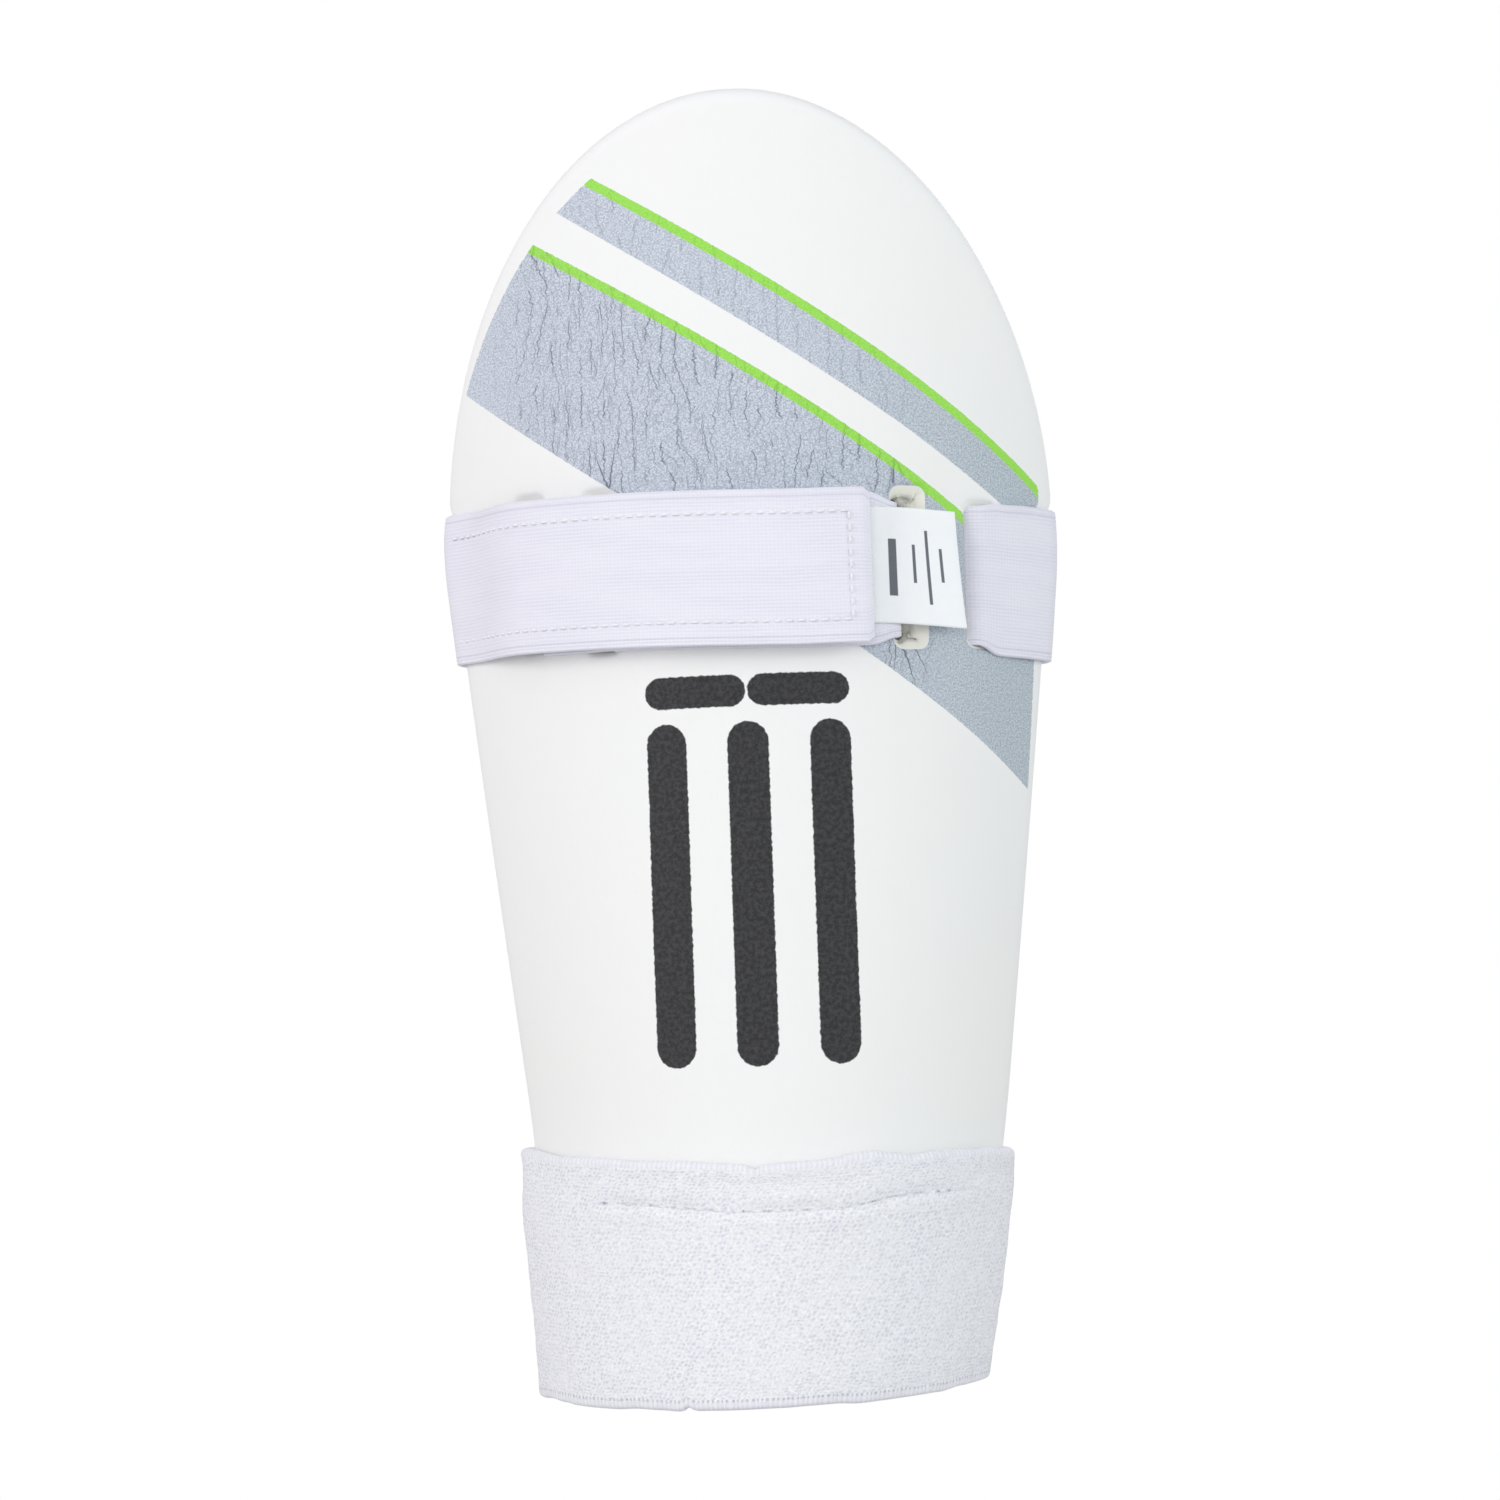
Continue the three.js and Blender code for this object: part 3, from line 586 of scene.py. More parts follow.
def foam_look():
    m = Look("moulded foam", 0.62, sheen=0.12, subsurface=0.06)
    s, z, n = m.parts("sheet")
    rim, slot, _ = m.parts("edges")
    flat = m.join(s, z)
    wobble = m.line(m.noise(flat, 1.1, 3.0), 0.7, -0.35)
    rough_s = m.add(s, wobble)

    def under(line):
        start, fall, bow, middle, half = line
        height = m.line(rough_s, -fall, start)
        if bow:
            away = m.do("POWER", m.off(m.mul(m.sub(s, middle), 1 / half)), 2.0)
            height = m.add(height, m.line(away, -bow, bow))
        return m.sub(height, z)

    def within(gain, distance, height):
        return m.sub(m.add(rim, wobble), m.line(z, gain, distance - gain * height))

    outer = m.above(n, INK_DEPTH, 0.1)
    right_half = m.above(s, 0.0)
    left_part = m.mul(within(*LEFT_ENDS), m.sub(1.0, right_half))
    ends = m.above(m.add(left_part, m.mul(within(*RIGHT_ENDS), right_half)), 0)
    on_face = m.mul(m.mul(outer, m.above(slot, 0.05, 0.05)), ends)

    upper, lower = under(GREEN_UPPER), under(GREEN_LOWER)
    upper_band = m.mul(m.above(upper, 0.0), m.below(under(GREY_UPPER_END), 0.0))
    lower_band = m.mul(m.above(lower, 0.0), m.below(under(GREY_LOWER_END), 0.0))
    before_label = m.below(m.add(s, m.mul(m.sub(z, 190.0), 0.12)), 50.2)
    upper_lime = m.mul(m.above(upper, 0.0), m.below(upper, GREEN_WIDTH))
    lower_lime = m.mul(m.mul(m.above(lower, 0.0), m.below(lower, GREEN_WIDTH)), before_label)
    grey = m.mul(m.most(upper_band, lower_band), on_face)
    lime = m.mul(m.most(upper_lime, lower_lime), on_face)

    mark_s = m.add(s, m.line(m.noise(flat, 0.9, 3.0), 0.7, -0.35))
    mark_z = m.add(z, m.line(m.noise(m.join(z, s), 0.9, 3.0), 0.7, -0.35))

    def rounded_bar(left, right, low, high, half):
        ds = m.sub(mark_s, m.held(mark_s, left, right))
        dz = m.sub(mark_z, m.held(mark_z, low, high))
        return m.below(m.do("SQRT", m.add(m.mul(ds, ds), m.mul(dz, dz))), half, 0.15)

    mark = m.mul(m.most(*(rounded_bar(*bar) for bar in MARK_BARS)), outer)

    # Skin grain, and hairline cracks in the ink that run up the arm.
    grain = m.noise(flat, 1.0, 4.0, 0.75)
    fine = m.noise(flat, 2.5, 3.0, 0.75)
    shake = m.line(m.noise(m.join(m.mul(s, 0.22), m.mul(z, 0.62)), 1.0, 4.0, 0.68), 2.4, -1.2)
    cracked = m.mul(m.above(s, -54.0, 12.0), m.below(s, 38.0, 10.0))
    cracked = m.mul(cracked, m.line(upper_band, -0.5, 1.0))

    def hairlines(pitch, half, wander, low, high, shift):
        """Wavering lines up the arm, pitch apart, that fade in and out along their length."""
        drift = m.noise(m.join(m.line(s, 0.035, shift), m.mul(z, 0.03)), 1.0, 2.0)
        at = m.add(m.add(s, m.line(drift, wander, shift)), m.mul(shake, 1.15))
        turns = m.mul(at, 1 / pitch)
        index = m.do("FLOOR", turns)
        away = m.mul(m.off(m.sub(m.sub(turns, index), 0.5)), pitch)
        patch = m.noise(m.join(m.mul(index, 7.31), m.mul(z, 0.12), shift), 1.0, 2.0, 0.6)
        return m.mul(m.below(away, half, 0.11), m.rise(patch, low, high))

    bold = hairlines(3.3, 0.12, 16.0, 0.45, 0.54, 0.0)
    faint = m.mul(hairlines(2.1, 0.08, 24.0, 0.46, 0.56, 40.0), 0.8)
    shaken = m.join(m.add(s, shake), m.mul(m.add(z, shake), 0.6))
    net = m.below(m.cells(shaken, 0.85, 1.0, "DISTANCE_TO_EDGE"), 0.06, 0.06)
    net = m.mul(net, m.mul(m.above(grain, 0.48, 0.08), 0.4))
    crack = m.mul(m.most(bold, faint, net), cracked)
    bent = m.add(s, m.mul(shake, 0.5))
    for s0, z0, s1, z1, half in CREASES:
        length = np.hypot(s1 - s0, z1 - z0)
        ds, dz = (s1 - s0) / length, (z1 - z0) / length
        from_s, from_z = m.sub(bent, s0), m.sub(z, z0)
        gone = m.mul(m.add(m.mul(from_s, ds), m.mul(from_z, dz)), 1 / length)
        beside = m.off(m.sub(m.mul(from_s, dz), m.mul(from_z, ds)))
        narrowed = m.mul(m.sub(1.0, gone), half)
        here = m.mul(m.below(beside, narrowed, 0.08), m.above(gone, -0.02, 0.02))
        crack = m.most(crack, m.mul(here, m.below(gone, 0.96, 0.04)))
    printed = m.most(grey, lime, mark)

    skin = m.blend(m.noise(flat, 0.02, 2.0), linear(243, 242, 240), linear(241, 242, 243))
    # Painted highlight: the skin is made lighter near the rim.
    skin = m.tint(skin, m.below(rim, 3.4, 1.6), 0.8, 248, 248, 250)
    cut = m.above(m.mul(slot, -1.0), 0.1, 0.2)
    skin = m.tint(skin, cut, 0.8, 243, 241, 228)
    # Painted shade: deep down the slot walls the colour turns dark olive.
    slot_depth_shade = m.mul(m.above(m.mul(n, -1.0), 5.0, 2.5), cut)
    skin = m.tint(skin, slot_depth_shade, 0.85, 150, 146, 118)
    speck = m.above(fine, 0.5, 0.06)
    ink = m.blend(speck, linear(170, 179, 196), linear(213, 219, 229))
    ink = m.tint(ink, m.above(grain, 0.55, 0.1), 0.3, 220, 225, 233)
    # Painted shade: the ink turns darker and cooler towards the right side.
    right_shade = m.mul(m.above(s, 34.0, 30.0), 0.8)
    ink = m.blend(right_shade, ink, linear(230, 236, 232), "MULTIPLY")
    ink = m.tint(ink, crack, 0.9, 100, 108, 128)
    green = m.blend(speck, linear(146, 218, 66), linear(160, 228, 90))
    green = m.tint(green, crack, 0.5, 110, 160, 70)
    black = m.blend(m.above(grain, 0.5, 0.08), linear(8, 8, 11), linear(48, 48, 53))
    black = m.tint(black, crack, 0.5, 22, 22, 26)
    colour = m.blend(mark, m.blend(lime, m.blend(grey, skin, ink), green), black)

    relief = m.add(m.mul(grain, 0.5), m.mul(fine, 0.35))
    relief = m.sub(relief, m.mul(crack, m.line(printed, 1.1, 0.25)))
    return m.finish(colour, relief, 0.12, 0.55)


def elastic_look():
    m = Look("ribbed elastic", 0.85, sheen=0.2)
    along, across, _ = m.parts("weave")
    row, on_tab, _ = m.parts("fold")
    flat = m.join(along, across)
    drift = m.line(m.noise(m.join(m.mul(along, 0.1), m.mul(across, 0.4)), 1.0, 2.0), 0.5, -0.25)
    rib = m.sine(m.add(across, drift), 0.78)
    column = m.sine(along, 0.84)
    fade = m.noise(m.join(m.mul(along, 0.05), m.mul(across, 0.25)), 1.0, 2.0)
    fuzz = m.noise(flat, 2.6, 3.0, 0.6)
    # Painted shade: the colour darkens in the grooves between the ribs and between the columns.
    rib_groove_shade = m.mul(m.sub(1.0, rib), m.line(m.above(fade, 0.5, 0.15), 0.3, 0.12))
    colour = m.blend(rib_groove_shade, linear(237, 236, 246), linear(212, 211, 228))
    colour = m.tint(colour, m.sub(1.0, column), 0.12, 208, 208, 224)
    colour = m.tint(colour, m.above(fuzz, 0.55, 0.15), 0.25, 220, 219, 234)
    selvage = m.off(m.sub(m.off(across), STRAP_WIDTH / 2 - 1.7))
    colour = m.tint(colour, m.below(selvage, 0.16, 0.12), 0.5, 196, 197, 216)
    # Along the tab's rows of sewing the elastic sinks in a groove, and its colour is darkened there
    # as painted shade.
    groove = m.mul(m.below(row, 0.42, 0.22), on_tab)
    colour = m.tint(colour, groove, 0.6, 192, 192, 210)
    height = m.add(m.mul(rib, 0.6), m.mul(column, 0.25))
    height = m.sub(m.add(height, m.mul(fuzz, 0.25)), m.mul(groove, 1.4))
    return m.finish(colour, height, 0.14, 0.5)


def terry_look():
    m = Look("elastic terry", 0.95, sheen=0.3)
    along, across, _ = m.parts("weave")
    crease, sewn, _ = m.parts("fold")
    flat = m.join(along, across)
    u = m.add(along, m.line(m.noise(flat, 0.3, 2.0), 1.6, -0.8))
    v = m.add(across, m.line(m.noise(m.join(across, along), 0.3, 2.0), 1.6, -0.8))
    leaning = m.add(u, m.mul(v, 0.5))
    loops = m.cells(m.join(m.mul(leaning, 1 / 1.02), m.mul(v, 1 / 0.9)), 1.0, 0.42)
    clump = m.above(m.noise(flat, 1.5, 4.0, 0.7), 0.5, 0.14)
    open_weave = m.line(m.above(m.noise(flat, 0.07, 2.0), 0.5, 0.15), 0.3, 0.55)
    hole = m.mul(m.below(loops, 0.33, 0.2), open_weave)
    pile = m.add(m.mul(clump, 0.5), m.do("MINIMUM", m.mul(loops, 1.6), 0.8))
    colour = m.blend(clump, linear(239, 239, 248), linear(254, 254, 255))
    colour = m.tint(colour, hole, 0.64, 198, 200, 218)
    hem = m.above(m.off(across), BAND_HEIGHT / 2 - 1.7, 0.3)
    stitch = m.sine(m.add(along, m.mul(m.noise(m.join(along, 0.0), 0.5, 2.0), 1.6)), 1.05)
    colour = m.tint(colour, hem, 0.8, 242, 242, 248)
    colour = m.tint(colour, m.mul(hem, m.sub(1.0, stitch)), 0.3, 200, 201, 218)
    from_row = m.off(m.add(across, BAND_HEIGHT / 2 - 2.2))
    row = m.mul(m.below(from_row, 0.32, 0.12), m.below(stitch, 0.35, 0.2))
    colour = m.tint(colour, row, 0.6, 176, 178, 194)
    # Painted shade along the crease over the sewn row, broken along its length, with darker spots
    # of painted shadow here and there.
    broken = m.noise(m.join(m.mul(along, 0.4), 0.0), 1.0, 3.0, 0.7)
    fold = m.mul(m.below(m.off(crease), 0.22, 0.22), sewn)
    shaded = m.mul(fold, m.mul(m.above(broken, 0.45, 0.1), 0.7))
    colour = m.blend(shaded, colour, linear(188, 190, 202))
    colour = m.blend(m.mul(fold, m.above(broken, 0.6, 0.05)), colour, linear(110, 112, 126))
    height = m.add(m.mul(pile, m.sub(1.0, m.mul(hem, 0.8))), m.mul(m.mul(hem, stitch), 0.5))
    return m.finish(colour, height, 0.28, 0.6)


# Plain bars on the label: (distance from the sewn end, low and high edge across it, half width).
LABEL_BARS = (
    (10.4, -6.6, 5.6, 0.9),
    (15.2, -3.6, 4.6, 0.35),
    (18.3, -8.0, 7.8, 0.35),
    (21.4, -3.0, 4.2, 0.35),
)


def satin_look():
    m = Look("woven satin ribbon", 0.42, sheen=0.15)
    along, across, side = m.parts("weave")
    threads = m.add(m.mul(m.sine(across, 0.34), 0.5), m.mul(m.sine(along, 0.5), 0.25))
    cloud = m.noise(m.join(along, across), 0.3, 2.0)
    colour = m.blend(cloud, linear(246, 248, 250), linear(240, 243, 247))

    def plain_bar(start, low, high, half):
        within = m.mul(m.above(across, low, 0.08), m.below(across, high, 0.08))
        return m.mul(m.below(m.off(m.sub(along, start)), half, 0.08), within)

    ink = m.most(*(plain_bar(*bar) for bar in LABEL_BARS))
    colour = m.blend(m.mul(ink, m.above(side, 0.0, 0.5)), colour, linear(92, 97, 106))
    return m.finish(colour, threads, 0.05, 0.5)


def thread_look():
    m = Look("twisted thread", 0.5, sheen=0.2)
    along, round_it, _ = m.parts("weave")
    ply = m.sine(m.add(along, m.mul(round_it, 0.45)), 0.45)
    colour = m.blend(m.mul(ply, 0.6), linear(243, 243, 250), linear(254, 254, 255))
    return m.finish(colour, ply, 0.08, 0.6)


def tape_look(name, size, depth, roughness):
    m = Look(name, roughness, sheen=0.3)
    along, across, _ = m.parts("weave")
    hooks = m.cells(m.join(along, across), size, 0.35)
    fuzz = m.noise(m.join(along, across), 3.0, 4.0, 0.7)
    colour = m.blend(hooks, linear(238, 237, 243), linear(196, 196, 206))
    return m.finish(colour, m.add(m.mul(hooks, -1.0), m.mul(fuzz, 0.4)), depth, 0.8)


def lining_look():
    m = Look("brushed knit lining", 0.95, sheen=0.35)
    s, z, _ = m.parts("sheet")
    knit = m.mul(m.do("SINE", m.mul(s, 2 * PI / 1.1)), m.do("SINE", m.mul(z, 2 * PI / 0.8)))
    nap = m.noise(m.join(s, z), 1.4, 4.0, 0.7)
    colour = m.blend(nap, linear(224, 224, 226), linear(240, 240, 241))
    return m.finish(colour, m.add(m.line(knit, 0.3, 0.3), m.mul(nap, 0.7)), 0.3, 0.7)


FOAM_LOOK = foam_look()
ELASTIC_LOOK = elastic_look()
TERRY_LOOK = terry_look()
SATIN_LOOK = satin_look()
THREAD_LOOK = thread_look()
HOOK_LOOK = tape_look("hook tape", 1.2, 0.5, 0.6)
LOOP_LOOK = tape_look("loop tape", 0.8, 0.6, 0.95)
LINING_LOOK = lining_look()


# ---- The shell and its lining ------------------------------------------------------------------


def outline_loop(inset, spacing):
    """The edge of the unrolled sheet, anticlockwise from the middle of the wrist end."""
    z = np.concatenate(
        [
            SHELL_BASE + inset + BASE_CORNER * (1 - np.cos(np.linspace(0, PI / 2, 12)[:-1])),
            np.linspace(SHELL_BASE + inset + BASE_CORNER, WIDEST_Z, 60)[:-1],
            WIDEST_Z + (LENGTH - inset - WIDEST_Z) * np.sin(np.linspace(0, PI / 2, 90)),
        ]
    )
    right = pack(outline_at(z, inset), z)
    loop = np.concatenate([right, right[::-1] * [-1, 1]])
    return even_loop(loop, int(travelled(np.concatenate([loop, loop[:1]]))[-1] / spacing))


def offset_loop(loop, distance):
    """An anticlockwise loop moved inwards, or outwards where the distance is negative."""
    way = np.roll(loop, -1, axis=0) - np.roll(loop, 1, axis=0)
    way /= np.linalg.norm(way, axis=1, keepdims=True)
    return loop + distance * pack(-way[:, 1], way[:, 0])


def away_from(loop, points):
    """The distance from each point to a closed loop."""
    a, b = loop, np.roll(loop, -1, axis=0)
    best = np.full(len(points), np.inf)
    for p, q in zip(a, b):
        d = q - p
        t = np.clip((points - p) @ d / (d @ d), 0, 1)
        best = np.minimum(best, np.linalg.norm(points - p - t[:, None] * d, axis=1))
    return best


def inside(loop, points):
    """Which points are inside a closed loop."""
    a, b = loop, np.roll(loop, -1, axis=0)
    odd = np.zeros(len(points), bool)
    for p, q in zip(a, b):
        crosses = (p[1] > points[:, 1]) != (q[1] > points[:, 1])
        rise = q[1] - p[1] if q[1] != p[1] else 1e-9
        odd ^= crosses & (points[:, 0] < (q[0] - p[0]) * (points[:, 1] - p[1]) / rise + p[0])
    return odd


SLOTS = (SLOT_LEFT_SHIFT - SLOT_FAR, SLOT_LEFT_SHIFT - SLOT_NEAR, SLOT_NEAR, SLOT_FAR)


def slot_height(s):
    far = FAR_SLOT_HEIGHT + (LEFT_FAR_TALLER if s < 0 else 0)
    return far if abs(s) > FAR_SLOTS_FROM else NEAR_SLOT_HEIGHT


def slot_loop(s):
    """One slot's edge, anticlockwise."""
    z = float(strap_centre(place(s, 0, STRAP_Z)[0])) + SLOT_RISE
    z += LEFT_FAR_TALLER / 2 if s < -FAR_SLOTS_FROM else 0
    half_w, half_h = SLOT_WIDTH / 2, slot_height(s) / 2
    r = SLOT_CORNER
    points = []
    for cx, cz, turn in (
        (half_w - r, half_h - r, 0),
        (r - half_w, half_h - r, PI / 2),
        (r - half_w, r - half_h, PI),
        (half_w - r, r - half_h, PI * 1.5),
    ):
        for a in np.linspace(turn, turn + PI / 2, 5):
            points.append((s + cx + r * np.cos(a), z + cz + r * np.sin(a)))
    return even_loop(np.array(points), 96)


def fill_grid(outline, slots, spacing, rim_clear, slot_clear):
    """A staggered grid of points that keeps clear of the outline and the slots."""
    low, high = outline.min(0), outline.max(0)
    rows = np.arange(low[1], high[1], spacing * 0.87)
    grid = np.array(
        [
            (s + (spacing / 2 if i % 2 else 0), z)
            for i, z in enumerate(rows)
            for s in np.arange(low[0], high[0], spacing)
        ]
    )
    keep = inside(outline, grid) & (away_from(outline, grid) > rim_clear)
    for slot in slots:
        keep &= (away_from(slot, grid) > slot_clear) & ~inside(slot, grid)
    return grid[keep]


def triangulate(outline, slots, loops, grid):
    """The sheet's points, its triangles, and where each point of the loops is among its points."""
    coordinates, edges = [], []
    for loop in loops:
        first, count = len(coordinates), len(loop)
        coordinates += [tuple(p) for p in loop]
        edges += [(first + i, first + (i + 1) % count) for i in range(count)]
    on_loops = len(coordinates)
    coordinates += [tuple(p) for p in grid]
    verts, _, faces, origin, _, _ = delaunay_2d_cdt(
        [Vector(p) for p in coordinates], edges, [], 0, 1e-4, True
    )
    sheet, faces = np.array([tuple(v) for v in verts]), np.array([list(f) for f in faces])
    centres = sheet[faces].mean(axis=1)
    keep = inside(outline, centres)
    for slot in slots:
        keep &= ~inside(slot, centres)
    faces = faces[keep]
    # The triangulation comes in any order, so points and triangles are put in order of place.
    used = np.unique(faces)
    used = used[np.lexsort((sheet[used, 0], sheet[used, 1]))]
    rank = np.full(len(sheet), -1)
    rank[used] = np.arange(len(used))
    faces = rank[faces]
    turned = (np.arange(3) + faces.argmin(axis=1)[:, None]) % 3
    faces = np.take_along_axis(faces, turned, axis=1)
    faces = faces[np.lexsort(faces.T[::-1])]
    index = {old: rank[new] for new, olds in enumerate(origin) for old in olds}
    return sheet[used], faces, np.array([index[i] for i in range(on_loops)])


WALL_STEPS = 14
AWAY_FROM_RIM = 20.0  # stands for the rim's distance inside a slot, where the rim doesn't matter


def moulded_sheet(name, inset, spacing, rim_rings, slot_rings, top, bottom, swell, material):
    """A sheet on the shell with its slots, and its flat area. top and bottom give n from s, z and
    the distances to the rim and the nearest slot. swell gives how far a slot's wall bulges in."""
    outline = outline_loop(inset, spacing)
    slots = [slot_loop(s) for s in SLOTS]
    loops = [offset_loop(outline, d) for d in rim_rings]
    loops += [offset_loop(slot, -d) for slot in slots for d in slot_rings]
    clear = spacing * 0.6
    grid = fill_grid(outline, slots, spacing, rim_rings[-1] + clear, slot_rings[-1] + clear)
    sheet, faces, loop_index = triangulate(outline, slots, loops, grid)
    s, z = sheet[:, 0], sheet[:, 1]
    rim = away_from(outline, sheet)
    near_slot = np.min([away_from(slot, sheet) for slot in slots], axis=0)
    n_top, n_bottom = top(s, z, rim, near_slot), bottom(s, z, rim, near_slot)

    # Two layers of points, the outer face first, and the wall that joins them round the rim.
    count = len(sheet)
    layout = [pack(s, n_top, z), pack(s, n_bottom, z)]
    edges = [pack(rim, near_slot, 0 * s)] * 2
    wall = pack(loop_index[: len(outline)], np.roll(loop_index[: len(outline)], -1))
    quads = [pack(wall[:, 1], wall[:, 0], wall[:, 0] + count, wall[:, 1] + count)]
    total = 2 * count
    for k, slot in enumerate(slots):
        start = len(rim_rings) * len(outline) + k * len(slot_rings) * len(slot)
        ring = loop_index[start : start + len(slot)]
        inward = offset_loop(slot, 1.0) - slot
        rings = [ring]
        for t in np.arange(1, WALL_STEPS) / WALL_STEPS:
            here = slot + inward * swell(slot, slot.mean(axis=0), t)[:, None]
            layout.append(pack(here[:, 0], mix(n_top[ring], n_bottom[ring], t), here[:, 1]))
            depth = np.full(len(slot), -3.0 * np.sin(PI * t))
            edges.append(pack(np.full(len(slot), AWAY_FROM_RIM), depth, 0 * depth))
            rings.append(np.arange(len(slot)) + total)
            total += len(slot)
        rings.append(ring + count)
        for a, b in zip(rings, rings[1:]):
            quads.append(pack(a, b, np.roll(b, -1), np.roll(a, -1)))
    layout = np.concatenate(layout)
    shapes = [list(f) for f in np.concatenate([faces, faces[:, ::-1] + count])]
    shapes += [list(q) for q in np.concatenate(quads)]
    attributes = {"sheet": layout[:, [0, 2, 1]], "edges": np.concatenate(edges)}
    obj = make_piece(name, squeezed(place(*layout.T)), shapes, attributes, material)
    merge_rim(obj)
    triangles = sheet[faces]
    a, b = triangles[:, 1] - triangles[:, 0], triangles[:, 2] - triangles[:, 0]
    return obj, np.abs(a[:, 0] * b[:, 1] - a[:, 1] * b[:, 0]).sum() / 2


def merge_rim(obj):
    """Joins points that lie in one place, and makes every face look outwards."""
    bm = bmesh.new()
    bm.from_mesh(obj.data)
    bmesh.ops.remove_doubles(bm, verts=bm.verts, dist=1e-6)
    bmesh.ops.recalc_face_normals(bm, faces=bm.faces)
    bm.to_mesh(obj.data)
    bm.free()


def rounded(radius, d):
    """How far a rounded edge has fallen away at a distance from it."""
    d = np.clip(d, 0, radius)
    return radius - np.sqrt(radius**2 - (radius - d) ** 2)


def foam_top(s, z, rim, slot):
    loose = smooth(rim, 3, 14)
    waves = 0.13 * ripple(s / 17, z / 21, 1) + 0.04 * ripple(s / 6, z / 7, 2)
    lip = 0.12 * bell(slot - 2.4, 1.6) - 0.5 * (1 - smooth(slot, 0, 0.8))
    return -rounded(FOAM / 2, rim) + loose * waves + lip


def foam_bottom(s, z, rim, slot):
    return -FOAM + rounded(FOAM / 2, rim) + 0.5 * (1 - smooth(slot, 0, 1.0))


def slot_swell(slot, centre, t):
    """How far a slot's wall swells into it, t of the way down. The strap hugs the wall nearer the
    centre line, and the crumpled foam fills the rest."""
    side = np.sign(centre[0])
    facing = side * (slot[:, 0] - centre[0]) / (SLOT_WIDTH / 2)
    half_height = slot_height(centre[0]) / 2
    level = (slot[:, 1] - centre[1]) / half_height
    free = smooth(facing, -0.75, 0.6)
    top = smooth(level, 0.78, 0.95) * (3.2 + 0.6 * free)
    low = smooth(-level, 0.78, 0.95) * (1.9 + 1.5 * free)
    amount = np.maximum(np.maximum(top, low), 3.5 * free)
    crumple = 0.55 * ripple(slot[:, 1] / 3.2 + 9 * t, slot[:, 0] / 3.0 + centre[0], 3)
    crumple += 0.3 * ripple(slot[:, 1] / 1.7 + 3 * t, slot[:, 0] / 1.6 - 5 * t, 8)
    return (0.15 + amount * (1 + 0.8 * crumple)) * np.sin(PI * t) ** 0.5


def flat_wall(slot, centre, t):
    return np.full(len(slot), 0.05 * np.sin(PI * t))


shell_foam, _ = moulded_sheet(
    "shell_foam",
    0.0,
    1.9,
    [0.0, 0.16, 0.6, 1.32, 2.25, 3.3, 4.5, 6.0],
    [0.0, 0.35, 0.8, 1.4, 2.2, 3.2],
    foam_top,
    foam_bottom,
    slot_swell,
    FOAM_LOOK,
)
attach(shell_foam, "guard")
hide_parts("foam_shell")

CHANNELS = (-44.0, -22.0, 0.0, 22.0, 44.0)  # sewn channels, where the half arc counts as 60


def lining_top(s, z, rim, slot):
    return -FOAM - GAP - rounded(0.9, rim)


def lining_bottom(s, z, rim, slot):
    share = s / np.maximum(half_arc_at(z, LINING_INSET), 1)
    at = share * 60
    groove = sum(0.9 * bell(at - c, 1.6) for c in CHANNELS) * smooth(rim, 5, 9)
    hem = 0.9 * bell(rim - 5.0, 0.9)
    return INNER_FACE + rounded(1.4, rim) + np.minimum(groove + hem, 1.0)


shell_lining, lining_area = moulded_sheet(
    "shell_lining_cloth",
    LINING_INSET,
    2.0,
    [0.0, 0.2, 0.6, 1.3, 2.2, 3.4, 4.4, 5.0, 5.6, 6.8],
    [0.0, 0.6, 1.4],
    lining_top,
    lining_bottom,
    flat_wall,
    LINING_LOOK,
)
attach(shell_lining, "guard")
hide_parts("shell_lining")


# ---- The strap ---------------------------------------------------------------------------------


def tab_height_at(s):
    return mix(LAID, TAB_HEIGHT, smooth(s, TAB_HINGE - 5, TAB_HINGE + 17))


